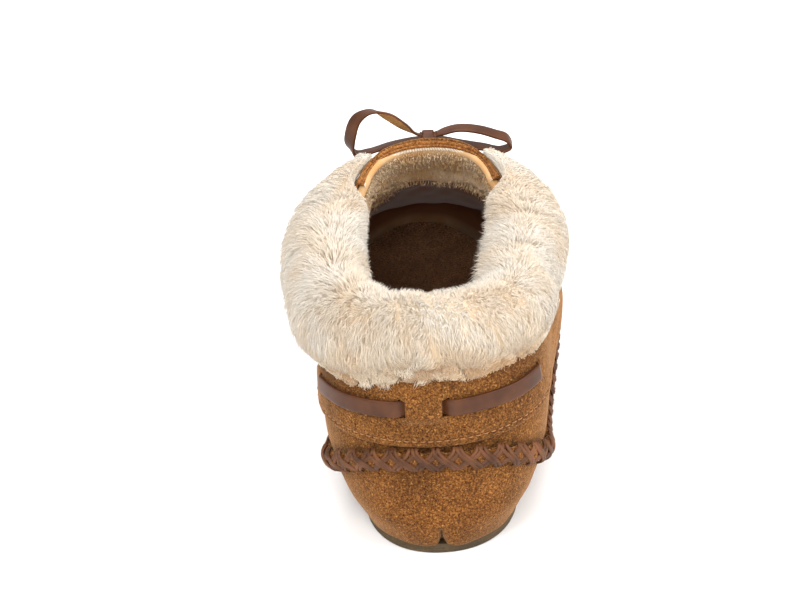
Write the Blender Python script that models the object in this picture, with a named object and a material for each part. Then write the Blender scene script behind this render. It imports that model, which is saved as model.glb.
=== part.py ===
# Moccasin slipper for the right foot: suede upper with a deep fleece wall, fur cuff folded over
# the collar, laced heel band, braided seam, thin rubber sole and a leather bow at the throat.
# Metres, +Z up, toe towards +Y, little toe towards +X.
# The origin is on the floor under the middle of the heel seat.
import math
from collections import namedtuple

import bmesh
import bpy
import numpy as np

# Last and upper
SOLE_LENGTH = 0.246
HEEL_SEAT = 0.045        # back of the heel to the origin
HEEL_ROUND = 0.036       # depth over which the heel rounds in
HEEL_WIDTH = 0.083       # upper across the heel seat
BALL_WIDTH = 0.096       # upper across the ball
INSTEP_HEIGHT = 0.106    # edge of the throat above the sole
HEEL_HEIGHT = 0.086      # edge of the collar above the sole
WALL = 0.0075            # suede with its deep fleece
THROAT_WALL = 0.0045     # suede with clipped fleece at the throat
FOOT_WALL = 0.0045       # wall where it turns under
FLANGE_WIDTH = 0.009     # margin turned in over the sole
FLANGE_THICKNESS = 0.002
INNER_LOW = 0.009        # height from which the wall has its full thickness

# Sole and insole
SOLE_THICKNESS = 0.004
SOLE_EDGE_ROUND = 0.001
ARCH_RISE = 0.0015
TOE_SPRING = 0.007
INSOLE_THICKNESS = 0.005

# Fur cuff
CUFF_OUT = 0.011         # depth of the fur outside the collar
CUFF_IN = 0.015          # depth of the fur inside the collar
CUFF_RISE = 0.016        # crest above the collar's edge
CUFF_HANG = 0.022        # lower edge under the collar's edge at the sides
CUFF_TUCK = 0.008        # how far the fur hangs inside
CUFF_BELLY = 0.42        # height of the fur's fullest part as a share of its section

# Heel band, lace, braid and binding
BAND_LOW = 0.5 * HEEL_HEIGHT     # lower edge of the band above the sole, at the back
BAND_RISE = (0.0030, 0.0060)     # how far that edge rises to the band's left and right end
BAND_THICKNESS = 0.0017
BAND_SHIFT = -4.0        # turn of the band's middle, a little towards the big toe's side
BAND_END = 73.0          # turn from its middle at which the band ends
BAND_CORNER = 0.009
LACE_WIDTH = 0.0063
LACE_THICKNESS = 0.0015
LACE_HOLE_TURN = 57.0    # from the band's middle
BRIDGE_WIDTH = 0.0124
BRIDGE_FOOT = 0.0035     # how far the bridge reaches past the lace above and below
SLIT_LENGTH = 0.0052     # opening on each side of the bridge that the lace goes down through
SLIT_ROOM = 0.0005       # room above and below the lace in the opening
BRAID_WIDTH = 0.0080
BRAID_HEIGHT = 0.0036
BINDING_DIAMETER = 0.0036
BINDING_END = 151.0      # turn at which the binding goes under the fur
FRONT_LACE_DROP = 0.0065 # middle of the front lace under the throat's edge
FRONT_LACE_END = 164.5   # turn of the eyelet that it comes out of
KNOT_SIZE = (0.0064, 0.0052, 0.0060)

GAP = 0.0003             # clearance between neighbours
SOFT_GAP = 0.0006        # clearance under the fur and the insole
AROUND = 66              # stations round the upper

# Contours of the upper, bottom to top. Heights are shares of the instep height, heel and front
# shares of the sole's length from the back of the heel, tip the sideways place of the front,
# heel and waist widths shares of half the heel's width, ball widths of half the ball's width.
Contour = namedtuple(
    "Contour", "height heel front tip right_heel left_heel right_waist left_waist right_ball left_ball"
)
CONTOURS = (
    Contour(0.000, 0.006, 0.992, -0.033, 0.66, 0.65, 0.75, 0.63, 0.86, 0.86),
    Contour(0.075, -0.012, 1.012, -0.033, 0.79, 0.78, 0.92, 0.80, 0.93, 0.96),
    Contour(0.187, -0.011, 1.012, -0.030, 0.92, 0.91, 1.03, 0.93, 0.975, 1.00),
    Contour(0.355, -0.009, 0.935, -0.024, 1.00, 0.99, 1.14, 1.04, 0.945, 0.94),
    Contour(0.523, -0.005, 0.775, -0.015, 1.00, 0.99, 1.18, 1.10, 0.87, 0.85),
    Contour(0.692, 0.000, 0.655, -0.008, 0.96, 0.95, 1.12, 1.05, 0.79, 0.77),
    Contour(0.841, 0.008, 0.567, -0.004, 0.90, 0.89, 0.96, 0.94, 0.69, 0.67),
    Contour(1.000, 0.020, 0.488, 0.000, 0.82, 0.82, 0.84, 0.84, 0.52, 0.52),
)
WAIST_SHARE = 0.33       # place of the waist and the ball between heel seat and front
BALL_SHARE = 0.65
END_POWER = 2.15         # roundness of heel and toe

# Edge of the collar by turn: 0 is the height at the heel, 1 the height at the instep
Edge = namedtuple("Edge", "turn rise")
COLLAR = (Edge(0, 0.0), Edge(60, -0.12), Edge(100, -0.08), Edge(130, 0.22), Edge(150, 0.66),
          Edge(165, 0.92), Edge(180, 1.0))

# Fur cuff by turn: hang and tuck are shares of their named sizes, out and into of the fur's
# depths, lip of the wall's thickness that it covers
Fur = namedtuple("Fur", "turn hang rise out into tuck lip")
FUR = (
    Fur(0, 0.50, 0.85, 0.62, 1.00, 1.00, 1.0),
    Fur(40, 0.72, 0.95, 0.80, 1.00, 1.00, 1.0),
    Fur(75, 1.00, 1.10, 0.95, 1.00, 0.70, 1.0),
    Fur(95, 1.00, 1.15, 1.00, 0.90, 0.20, 1.0),
    Fur(108, 1.00, 1.05, 1.02, 0.85, -0.10, 1.0),
    Fur(125, 1.00, 0.95, 1.05, 0.75, -0.10, 1.0),
    Fur(140, 0.95, 0.60, 1.10, 0.45, -0.10, 0.8),
    Fur(149, 0.90, 0.36, 1.10, 0.02, -0.10, 0.0),
    Fur(162, 0.62, 0.30, 0.80, 0.00, -0.10, 0.0),
)
FUR_END = 162
# The cuff lies unevenly: share of each value on the left and on the right
FUR_SIDES = {"hang": (1.0, 0.60), "out": (1.05, 0.60), "into": (0.78, 1.05)}

# Braided seam by turn, height above the sole as a share of the heel's height
Seam = namedtuple("Seam", "turn height")
BRAID = (Seam(0, 0.442), Seam(28, 0.420), Seam(55, 0.320), Seam(76, 0.245), Seam(100, 0.212),
         Seam(130, 0.215), Seam(155, 0.265), Seam(170, 0.335), Seam(180, 0.355))

# Lace round the heel by turn from the band's middle, height as a share of the way from the band's
# lower edge to the fur
LACE = (Seam(0, 0.49), Seam(38, 0.60), Seam(62, 0.71))

# Outline of the sole: station along it, right and left edge as shares of half the ball width
Outline = namedtuple("Outline", "station right left")
SOLE = (Outline(0.15, 0.595, 0.585), Outline(0.42, 0.675, 0.575), Outline(0.70, 0.895, 0.885))


# Smooth curve through a table's points, level at both ends if asked
def curve(x, xs, ys, level=False):
    xs, ys = np.asarray(xs, float), np.asarray(ys, float)
    slope = np.gradient(ys, xs)
    if level:
        slope[0] = slope[-1] = 0
    x = np.clip(x, xs[0], xs[-1])
    i = np.clip(np.searchsorted(xs, x, side="right") - 1, 0, len(xs) - 2)
    span = xs[i + 1] - xs[i]
    t = (x - xs[i]) / span
    a, b = 2 * t**3 - 3 * t**2 + 1, t**3 - 2 * t**2 + t
    c, d = -2 * t**3 + 3 * t**2, t**3 - t**2
    return a * ys[i] + b * span * slope[i] + c * ys[i + 1] + d * span * slope[i + 1]


# Column of a table by turn, the same on both sides of the shoe
def by_turn(table, column, turn):
    folded = np.abs((np.asarray(turn, float) + 180) % 360 - 180)
    return curve(folded, [row.turn for row in table], [getattr(row, column) for row in table], level=True)


# Half-width factor that rounds the ends of a contour
def round_ends(share, heel_share, ball_share):
    heel = np.clip((heel_share - share) / heel_share, 0, 1)
    toe = np.clip((share - ball_share) / (1 - ball_share), 0, 1)
    return (1 - heel**END_POWER) ** (1 / END_POWER) * (1 - toe**END_POWER) ** (1 / END_POWER)


# Closed plan contour of the upper at a height: radius by turn about the upright axis
def contour_radius(height, turns):
    rows = [row.height * INSTEP_HEIGHT for row in CONTOURS]
    row = Contour(*[float(curve(height, rows, [r[k] for r in CONTOURS])) for k in range(len(CONTOURS[0]))])
    back = row.heel * SOLE_LENGTH - HEEL_SEAT
    length = (row.front - row.heel) * SOLE_LENGTH
    heel_share = HEEL_ROUND / length
    waist_share = heel_share + (1 - heel_share) * WAIST_SHARE
    ball_share = heel_share + (1 - heel_share) * BALL_SHARE
    share = (1 - np.cos(np.linspace(0, math.pi, 181))) / 2
    stations = (0, heel_share, waist_share, ball_share, 1)
    middle = row.tip * SOLE_LENGTH * np.clip(share / 0.55 - 0.82, 0, 1) ** 1.5
    ends = round_ends(share, heel_share, ball_share)
    points = []
    for side, heel, waist, ball in ((1, row.right_heel, row.right_waist, row.right_ball),
                                    (-1, row.left_heel, row.left_waist, row.left_ball)):
        heel, waist, ball = heel * HEEL_WIDTH / 2, waist * HEEL_WIDTH / 2, ball * BALL_WIDTH / 2
        width = curve(share, stations, (heel, heel, waist, ball, ball * 0.97))
        x = middle + side * width * ends
        y = back + length * share
        points.append(np.stack([x, y], 1))
    ring = np.concatenate([points[0], points[1][-2:0:-1]])
    turn = np.degrees(np.arctan2(ring[:, 0], -ring[:, 1])) % 360
    radius = np.hypot(ring[:, 0], ring[:, 1])
    return np.interp(turns, turn, radius, period=360)


GRID_HEIGHTS = np.linspace(0, INSTEP_HEIGHT, 107)
GRID_TURNS = np.linspace(0, 360, 721)
GRID = np.array([contour_radius(height, GRID_TURNS) for height in GRID_HEIGHTS])


# Rise of the sole's line: the arch under the waist and the spring of the toe
def lift(y):
    station = (np.asarray(y, float) + HEEL_SEAT) / SOLE_LENGTH
    arch = np.clip(1 - np.abs(station - 0.41) / 0.13, 0, 1)
    toe = np.clip((station - 0.76) / 0.24, 0, 1)
    return ARCH_RISE * arch**2 * (3 - 2 * arch) + TOE_SPRING * toe**2


# Point on the upper's outer face at a height above the sole
def surface(height, turn):
    height, turn = np.broadcast_arrays(np.asarray(height, float), np.asarray(turn, float) % 360)
    row = np.clip(height / INSTEP_HEIGHT, 0, 1) * (len(GRID_HEIGHTS) - 1)
    col = turn / 360 * (len(GRID_TURNS) - 1)
    i, j = np.minimum(row.astype(int), len(GRID_HEIGHTS) - 2), np.minimum(col.astype(int), len(GRID_TURNS) - 2)
    a, b = row - i, col - j
    radius = ((GRID[i, j] * (1 - b) + GRID[i, j + 1] * b) * (1 - a)
              + (GRID[i + 1, j] * (1 - b) + GRID[i + 1, j + 1] * b) * a)
    angle = np.radians(turn)
    x, y = radius * np.sin(angle), -radius * np.cos(angle)
    return np.stack([x, y, SOLE_THICKNESS + height + lift(y)], -1)


# Outward direction of the upper's face
def outward(height, turn):
    height = np.asarray(height, float)
    up = surface(np.minimum(height + 0.0015, INSTEP_HEIGHT), turn) - surface(np.maximum(height - 0.0015, 0), turn)
    along = surface(height, np.asarray(turn) + 1.5) - surface(height, np.asarray(turn) - 1.5)
    normal = np.cross(along, up)
    return normal / np.linalg.norm(normal, axis=-1, keepdims=True)


# Level outward direction of the upper's face
def outward_level(height, turn):
    level = outward(height, turn) * (1, 1, 0)
    return level / np.linalg.norm(level, axis=-1, keepdims=True)


# Point at a distance off the upper's outer face
def skin(height, turn, out=0.0):
    return surface(height, turn) + outward(height, turn) * np.asarray(out, float)[..., None]


# Height of the collar's edge above the sole
def collar(turn):
    return HEEL_HEIGHT + (INSTEP_HEIGHT - HEEL_HEIGHT) * by_turn(COLLAR, "rise", turn)


# Column of the fur's table, with its unevenness from side to side
def fur_value(column, turn):
    left, right = FUR_SIDES.get(column, (1.0, 1.0))
    side = np.sin(np.radians(turn))
    uneven = 1 + (right - 1) * np.maximum(side, 0) ** 2 + (left - 1) * np.minimum(side, 0) ** 2
    return by_turn(FUR, column, turn) * uneven


# Lower edge of the fur outside
def fur_low(turn):
    return collar(turn) - CUFF_HANG * fur_value("hang", turn)


# Height of the braided seam
def braid_height(turn):
    return HEEL_HEIGHT * by_turn(BRAID, "height", turn)


# Height of the lace on the heel band, by turn from the band's middle
def lace_height(turn):
    return BAND_LOW + (fur_low(turn + BAND_SHIFT) - BAND_LOW) * by_turn(LACE, "height", turn)


# Lower edge of the heel band, by turn from its middle
def band_low(turn):
    rise = np.where(np.asarray(turn) < 0, BAND_RISE[0], BAND_RISE[1])
    return BAND_LOW + rise * np.abs(np.asarray(turn) / BAND_END) ** 1.8


# Thickness of the wall: clipped at the throat, full elsewhere
def wall(height, turn):
    folded = np.abs((np.asarray(turn, float) + 180) % 360 - 180)
    front = np.clip((folded - 135) / 20, 0, 1)
    high = np.clip((height / INSTEP_HEIGHT - 0.60) / 0.3, 0, 1)
    return WALL + (THROAT_WALL - WALL) * front * high


# Turns that stand evenly along the contour at a height
def even_turns(height, count, start=0.0, end=360.0):
    fine = np.linspace(start, end, 1441)
    points = surface(height, fine)
    steps = np.concatenate([[0], np.cumsum(np.linalg.norm(np.diff(points, axis=0), axis=1))])
    return np.interp(np.linspace(0, steps[-1], count), steps, fine)


# Plain surface for one piece
def material(name, colour, roughness):
    made = bpy.data.materials.new(name)
    made.use_nodes = True
    shader = made.node_tree.nodes["Principled BSDF"]
    shader.inputs["Base Color"].default_value = (*colour, 1)
    shader.inputs["Roughness"].default_value = roughness
    shader.inputs["Metallic"].default_value = 0
    made.diffuse_color = (*colour, 1)
    return made


# Object from a mesh under construction, its faces turned outwards
def finish(name, bm, surface_material, smooth=True):
    bmesh.ops.recalc_face_normals(bm, faces=bm.faces)
    if bm.calc_volume(signed=True) < 0:
        bmesh.ops.reverse_faces(bm, faces=bm.faces)
    mesh = bpy.data.meshes.new(name)
    bm.to_mesh(mesh)
    bm.free()
    if smooth:
        mesh.shade_smooth()
        mesh.set_sharp_from_angle(angle=math.radians(50))
    made = bpy.data.objects.new(name, mesh)
    made.data.materials.append(surface_material)
    bpy.context.scene.collection.objects.link(made)
    return made


# Faces between rows of points; around closes each row, along joins the last row to the first
def weave(bm, rows, around, along):
    verts = [[bm.verts.new(tuple(point)) for point in row] for row in rows]
    count = len(verts[0])
    for i in range(len(verts) if along else len(verts) - 1):
        low, high = verts[i], verts[(i + 1) % len(verts)]
        for j in range(count if around else count - 1):
            k = (j + 1) % count
            bm.faces.new((low[j], low[k], high[k], high[j]))
    return verts


# Solid swept through closed sections, with filled ends unless it runs round
def sweep(bm, sections, ring=False):
    verts = weave(bm, sections, around=True, along=ring)
    if not ring:
        bm.faces.new(verts[0])
        bm.faces.new(list(reversed(verts[-1])))
    return verts


# Section of a flat strip: a rounded bar across its path
def bar_section(centre, across, up, width, thickness):
    corner = 0.28 * thickness
    half, rise = width / 2, thickness / 2
    profile = ((half - corner, rise), (half, rise - corner), (half, corner - rise), (half - corner, -rise),
               (corner - half, -rise), (-half, corner - rise), (-half, rise - corner), (corner - half, rise))
    return [centre + across * a + up * b for a, b in profile]


# Smooth path through points chosen by hand, at even steps
def smooth_path(points, step):
    points = np.asarray(points, float)
    knots = np.concatenate([[0], np.cumsum(np.linalg.norm(np.diff(points[:, :3], axis=0), axis=1))])
    fine = np.linspace(0, knots[-1], 400)
    dense = np.stack([curve(fine, knots, points[:, k]) for k in range(points.shape[1])], 1)
    run = np.concatenate([[0], np.cumsum(np.linalg.norm(np.diff(dense[:, :3], axis=0), axis=1))])
    even = np.linspace(0, run[-1], max(3, int(round(run[-1] / step)) + 1))
    return np.stack([np.interp(even, run, dense[:, k]) for k in range(points.shape[1])], 1)


# Directions across a path and away from its ground
def frames(tangent, ups):
    tangent = tangent / np.linalg.norm(tangent, axis=1, keepdims=True)
    ups = ups - tangent * np.sum(ups * tangent, axis=1, keepdims=True)
    ups = ups / np.linalg.norm(ups, axis=1, keepdims=True)
    return np.cross(ups, tangent), ups


# Stretch of the flat lace that follows the upper at a distance from its face
def flat_run(name, heights, turns, out):
    centres = skin(heights, turns, out)
    across, ups = frames(np.gradient(centres, axis=0), outward(heights, turns))
    bm = bmesh.new()
    sweep(bm, [bar_section(c, a, u, LACE_WIDTH, LACE_THICKNESS) for c, a, u in zip(centres, across, ups)])
    return finish(name, bm, material(name + "_leather", (0.20, 0.085, 0.05), 0.5))


# Flat lace along points that each carry a place and the way its width points
def ribbon(name, points):
    path = smooth_path(points, 0.0035)
    places = path[:, :3]
    ups, across = frames(np.gradient(places, axis=0), path[:, 3:])   # widths first, then their normals
    bm = bmesh.new()
    sweep(bm, [bar_section(p, a, u, LACE_WIDTH, LACE_THICKNESS) for p, a, u in zip(places, across, ups)])
    return finish(name, bm, material(name + "_leather", (0.20, 0.085, 0.05), 0.5))


# Slab that follows the upper between two distances from its face, turns from the band's middle
def slab(turns, heights, inner, outer):
    bm = bmesh.new()
    grid_turns = np.broadcast_to(turns, heights.shape) + BAND_SHIFT
    inside, outside = skin(heights, grid_turns, inner), skin(heights, grid_turns, outer)
    sections = []
    for k in range(heights.shape[1]):
        sections.append(list(outside[:, k]) + list(inside[::-1, k]))
    sweep(bm, sections)
    return bm


# Cuts or joins the tool's mesh into the object and drops the tool
def combine(target, tool, operation):
    step = target.modifiers.new(operation.lower(), "BOOLEAN")
    step.operation = operation
    step.object = tool
    step.solver = "EXACT"
    bpy.context.view_layer.update()
    graph = bpy.context.evaluated_depsgraph_get()
    mesh = bpy.data.meshes.new_from_object(target.evaluated_get(graph))
    target.modifiers.clear()
    old = target.data
    target.data = mesh
    bpy.data.meshes.remove(old)
    bpy.data.objects.remove(tool)


# Right and left edge of the sole's outline at stations along it
def sole_edges(share, inset=0.0):
    stations = [0] + [row.station for row in SOLE] + [1]
    back, length = -HEEL_SEAT + inset, SOLE_LENGTH - 2 * inset
    ends = round_ends(share, SOLE[0].station, SOLE[-1].station)
    middle = CONTOURS[0].tip * SOLE_LENGTH * np.clip(share / 0.55 - 0.82, 0, 1) ** 1.5
    edges = []
    for side, column in ((1, "right"), (-1, "left")):
        values = [getattr(row, column) * BALL_WIDTH / 2 - inset for row in SOLE]
        width = curve(share, stations, [values[0]] + values + [values[-1] * 0.97])
        edges.append(middle + side * width * ends)
    return edges[0], edges[1], back + length * share


# Flat piece from rows of right and left edges that share their stations
def plate(rows):
    bm = bmesh.new()
    rings = []
    for right, left, y, z in rows:
        ring = [(right[i], y[i], z[i]) for i in range(len(y))]
        ring += [(left[i], y[i], z[i]) for i in range(len(y) - 2, 0, -1)]
        rings.append(ring)
    verts = weave(bm, rings, around=True, along=False)
    for ring in (verts[0], verts[-1]):
        count = len(ring)
        bm.faces.new((ring[0], ring[1], ring[-1]))
        for i in range(1, count // 2 - 1):
            bm.faces.new((ring[i], ring[i + 1], ring[count - i - 1], ring[count - i]))
        bm.faces.new((ring[count // 2 - 1], ring[count // 2], ring[count // 2 + 1]))
    return bm


def build_outsole():
    share = (1 - np.cos(np.linspace(0, math.pi, 41))) / 2
    rows = []
    for inset, rise in ((SOLE_EDGE_ROUND, 0), (0.3 * SOLE_EDGE_ROUND, 0.3 * SOLE_EDGE_ROUND),
                        (0, SOLE_EDGE_ROUND), (0, SOLE_THICKNESS)):
        right, left, y = sole_edges(share, inset)
        rows.append((right, left, y, lift(y) + rise))
    return finish("outsole", plate(rows), material("rubber_sole", (0.13, 0.09, 0.055), 0.75))


# Inner foot of the wall, where it stands on its turned-in margin
def wall_foot(turn):
    return surface(FLANGE_THICKNESS, turn) - outward_level(FLANGE_THICKNESS, turn) * FOOT_WALL


# Stations round the upper, shared by the pieces that follow its wall
def upper_turns():
    return even_turns(0.2 * INSTEP_HEIGHT, AROUND + 1)[:-1]


def build_upper():
    turns = upper_turns()
    edge = collar(turns)
    outer_shares = (0, 0.03, 0.07, 0.12, 0.18, 0.25, 0.33, 0.41, 0.50, 0.60, 0.70, 0.80, 0.90, 1)
    inner_shares = (1, 0.88, 0.76, 0.64, 0.52, 0.41, 0.30, 0.20, 0.12, 0.05, 0)
    lip = surface(0, turns) - outward_level(0, turns) * FLANGE_WIDTH
    lip[:, 2] = SOLE_THICKNESS + lift(lip[:, 1]) + GAP
    rows = [lip]
    for share in outer_shares:
        rows.append(surface(np.maximum(edge * share, GAP), turns))
    for share in inner_shares:
        height = INNER_LOW + (edge - INNER_LOW) * share
        rows.append(skin(height, turns, -wall(height, turns)))
    rows.append(wall_foot(turns))
    top = lip.copy()
    top[:, 2] += FLANGE_THICKNESS - GAP
    rows.append(top)
    bm = bmesh.new()
    weave(bm, rows, around=True, along=True)
    return finish("upper", bm, material("suede_upper", (0.32, 0.15, 0.05), 0.9))


# Insole on the turned-in margin, following the inside of the wall
def build_insole():
    turns = upper_turns()
    low = wall_foot(turns)
    high = skin(INNER_LOW, turns, -wall(INNER_LOW, turns))
    rise = (INSOLE_THICKNESS / np.maximum(high[:, 2] - low[:, 2], 0.001))[:, None]
    rows = []
    for share in (0.0, 0.5, 1.0):
        ring = low + (high - low) * np.minimum(rise * share, 1)
        ring = ring - outward_level(FLANGE_THICKNESS, turns) * (3 * GAP)
        ring[:, 2] = low[:, 2] + SOFT_GAP + INSOLE_THICKNESS * share
        rows.append(ring)
    bm = bmesh.new()
    verts = weave(bm, rows, around=True, along=False)
    for ring in (verts[0], verts[-1]):
        middle = [bm.verts.new((vert.co.x / 2, vert.co.y, vert.co.z)) for vert in ring]
        for i in range(len(ring)):
            k = (i + 1) % len(ring)
            bm.faces.new((ring[i], ring[k], middle[k], middle[i]))
        bm.faces.new(middle)
    bmesh.ops.remove_doubles(bm, verts=bm.verts, dist=1e-6)
    return finish("insole", bm, material("insole_suede", (0.05, 0.025, 0.012), 0.95))


# Section of the fur cuff across the collar's edge
def fur_section(turn, size=1.0):
    row = Fur(turn, *[float(fur_value(name, turn)) for name in Fur._fields[1:]])
    top = float(collar(turn))
    low = float(fur_low(turn))
    edge = surface(top, turn)
    out = outward_level(top, turn)
    thick = float(wall(top, turn))
    outer = [skin(low + (top - low) * share, turn, SOFT_GAP) for share in (0, 0.35, 0.7, 1)]
    outer[-1] = outer[-1] + np.array((0, 0, 2 * SOFT_GAP))
    inside = skin(top, turn, -(thick + SOFT_GAP) * row.lip) + np.array((0, 0, 2 * SOFT_GAP))
    tuck = CUFF_TUCK * row.tuck
    tucked = skin(top - max(tuck, 0), turn, -(thick + SOFT_GAP) * row.lip)
    tucked[2] = edge[2] - tuck + SOFT_GAP
    start, end = outer[0], tucked
    r_start, r_end = np.dot(start - edge, out), np.dot(end - edge, out)
    crest = (-thick / 2 * row.lip + 0.001 * (1 - row.lip), edge[2] + CUFF_RISE * row.rise)
    wide = (r_start * 0.55 + CUFF_OUT * row.out, start[2] + CUFF_BELLY * (crest[1] - start[2]))
    deep = (r_end - CUFF_IN * row.into, end[2] + CUFF_BELLY * (crest[1] - end[2]))
    arc = []
    for step in (30, 60, 90):
        c, s = math.cos(math.radians(step)), math.sin(math.radians(step))
        arc.append((r_end + (deep[0] - r_end) * s, deep[1] - (deep[1] - end[2]) * c))
    for step in (60, 30, 0):
        c, s = math.cos(math.radians(step)), math.sin(math.radians(step))
        arc.append((crest[0] + (deep[0] - crest[0]) * s, deep[1] + (crest[1] - deep[1]) * c))
    for step in (30, 60, 90):
        c, s = math.cos(math.radians(step)), math.sin(math.radians(step))
        arc.append((crest[0] + (wide[0] - crest[0]) * s, wide[1] + (crest[1] - wide[1]) * c))
    for step in (60, 30):
        c, s = math.cos(math.radians(step)), math.sin(math.radians(step))
        arc.append((r_start + (wide[0] - r_start) * s, wide[1] - (wide[1] - start[2]) * c))
    points = outer + [inside, tucked]
    points += [edge + out * r + np.array((0, 0, z - edge[2])) for r, z in arc]
    points = np.array(points)
    centre = points[[0, 2, -3, -5]].mean(axis=0)
    return centre + (points - centre) * size


def build_cuff():
    stations = (upper_turns() + 180) % 360 - 180
    turns = [-FUR_END] + sorted(stations[np.abs(stations) < FUR_END - 1]) + [FUR_END]
    sizes = [1.0] * len(turns)
    sizes[0] = sizes[-1] = 0.55
    sizes[1] = sizes[-2] = 0.86
    bm = bmesh.new()
    sweep(bm, [fur_section(turn, size) for turn, size in zip(turns, sizes)])
    return finish("fur_cuff", bm, material("sheepskin_fur", (0.80, 0.72, 0.60), 0.95))


# Heel band with its rounded front corners
def band_edges(turns):
    radius = np.linalg.norm(surface(BAND_LOW, turns + BAND_SHIFT)[..., :2], axis=-1)
    left = np.clip(1 - np.radians(BAND_END - np.abs(turns)) * radius / BAND_CORNER, 0, 1)
    corner = BAND_CORNER * (1 - np.sqrt(1 - left**2))
    return band_low(turns) + corner, fur_low(turns + BAND_SHIFT) - 2 * SOFT_GAP - 0.7 * corner


def build_band():
    turns = np.concatenate([[-BAND_END], np.linspace(-BAND_END + 2, BAND_END - 2, 33), [BAND_END]])
    low, high = band_edges(turns)
    share = np.linspace(0, 1, 6)[:, None]
    heights = low + (high - low) * share
    full = np.full(heights.shape, GAP)
    band = finish("collar_band", slab(turns, heights, full, full + BAND_THICKNESS),
                  material("suede_band", (0.30, 0.14, 0.05), 0.9))
    back_radius = float(np.linalg.norm(surface(lace_height(0), BAND_SHIFT)[:2]))

    window = math.degrees(math.asin((BRIDGE_WIDTH / 2 + SLIT_LENGTH) / back_radius))
    turns = np.linspace(-window, window, 9)
    half = LACE_WIDTH / 2 + SLIT_ROOM
    heights = lace_height(turns) + np.array([-half, half])[:, None]
    cut = np.full(heights.shape, 0.0)
    tool = finish("cutter", slab(turns, heights, cut + GAP / 3, cut + 0.004), band.data.materials[0])
    combine(band, tool, "DIFFERENCE")

    strap = math.degrees(math.asin(BRIDGE_WIDTH / 2 / back_radius))
    turns = np.linspace(-strap, strap, 7)
    raised = 2 * GAP + LACE_THICKNESS
    base = GAP + 0.35 * BAND_THICKNESS
    foot, hip, crown = GAP + 1.12 * BAND_THICKNESS, raised + 0.35 * BAND_THICKNESS, raised + BAND_THICKNESS
    side = ((half + BRIDGE_FOOT, base, foot), (half + SLIT_ROOM, base, hip), (half - GAP / 3, raised, crown))
    profile = [(-offset, inner, outer) for offset, inner, outer in side]
    profile += [(0, raised, crown)] + list(reversed(side))
    heights = lace_height(turns) + np.array([row[0] for row in profile])[:, None]
    inner = np.broadcast_to(np.array([row[1] for row in profile])[:, None], heights.shape)
    outer = np.broadcast_to(np.array([row[2] for row in profile])[:, None], heights.shape)
    tool = finish("bridge", slab(turns, heights, inner, outer), band.data.materials[0])
    combine(band, tool, "UNION")
    return band


# Lace round the heel: over the band, down through the slits and under the bridge
def build_heel_lace():
    back_radius = float(np.linalg.norm(surface(lace_height(0), BAND_SHIFT)[:2]))
    turns = np.linspace(-LACE_HOLE_TURN, LACE_HOLE_TURN, 49)
    distance = np.abs(np.sin(np.radians(turns))) * back_radius - BRIDGE_WIDTH / 2
    rise = np.clip((distance - 0.0002) / 0.0046, 0, 1)
    low = GAP + LACE_THICKNESS / 2
    out = low + (BAND_THICKNESS + GAP) * rise * rise * (3 - 2 * rise)
    return flat_run("lace_heel", lace_height(turns), turns + BAND_SHIFT, out)


# Braided seam: a rounded bead right round the upper
def build_braid():
    turns = even_turns(0.25 * INSTEP_HEIGHT, 101)[:-1]
    centres = skin(braid_height(turns), turns, np.full(len(turns), GAP + BRAID_HEIGHT / 2))
    tangent = np.roll(centres, -1, axis=0) - np.roll(centres, 1, axis=0)
    across, ups = frames(tangent, outward(braid_height(turns), turns))
    bm = bmesh.new()
    sections = []
    for centre, side, up in zip(centres, across * BRAID_WIDTH / 2, ups * BRAID_HEIGHT / 2):
        angles = np.radians(np.arange(0, 360, 60))
        sections.append([centre + side * math.cos(a) + up * math.sin(a) for a in angles])
    sweep(bm, sections, ring=True)
    return finish("braid", bm, material("braided_leather", (0.17, 0.08, 0.035), 0.7))


# Rolled edge of the throat, on the rim of the wall
def build_binding():
    turns = np.linspace(BINDING_END, 360 - BINDING_END, 33)
    edge = collar(turns)
    thick = wall(edge, turns)
    rim = skin(edge, turns, -thick / 2)
    upward, across = frames(np.gradient(rim, axis=0), outward(edge, turns))
    upward = upward * np.sign(upward[:, 2:3])
    radius = BINDING_DIAMETER / 2
    bm = bmesh.new()
    sections = []
    for point, side, up in zip(rim, across, upward):
        centre = point + up * (radius + SOFT_GAP)
        angles = np.radians(np.arange(0, 360, 45))
        sections.append([centre + (side * math.cos(a) + up * math.sin(a)) * radius for a in angles])
    sweep(bm, sections)
    return finish("throat_binding", bm, material("binding_suede", (0.42, 0.20, 0.08), 0.8))


# Front of the lace: from eyelet to eyelet along the throat, outside the binding
def build_front_lace():
    turns = np.linspace(FRONT_LACE_END, 360 - FRONT_LACE_END, 25)
    heights = collar(turns) - FRONT_LACE_DROP
    return flat_run("lace_front", heights, turns, np.full(len(turns), GAP + LACE_THICKNESS / 2 + 0.0004))


# Middle of the knot, resting on the front lace
def knot_centre():
    height = INSTEP_HEIGHT - FRONT_LACE_DROP
    seat = skin(height, 180.0, GAP + LACE_THICKNESS + 0.0008)
    return seat + outward(height, 180.0) * KNOT_SIZE[2] / 2 + np.array((0, 0, GAP))


def build_knot():
    height = INSTEP_HEIGHT - FRONT_LACE_DROP
    up = outward(height, 180.0)
    side = np.array((1.0, 0, 0))
    ahead = np.cross(up, side)
    centre = knot_centre()
    bm = bmesh.new()
    sections = []
    for share in (-1, -0.8, -0.3, 0.3, 0.8, 1):
        size = math.sqrt(max(1 - share**2, 0)) * 0.35 + 0.65
        section = []
        for angle in np.radians(np.arange(22.5, 360, 45)):
            section.append(centre + side * share * KNOT_SIZE[0] / 2
                           + ahead * math.cos(angle) * KNOT_SIZE[1] / 2 * size
                           + up * math.sin(angle) * KNOT_SIZE[2] / 2 * size)
        sections.append(section)
    sweep(bm, sections)
    return finish("bow_knot", bm, material("knot_leather", (0.22, 0.095, 0.055), 0.5))


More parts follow.
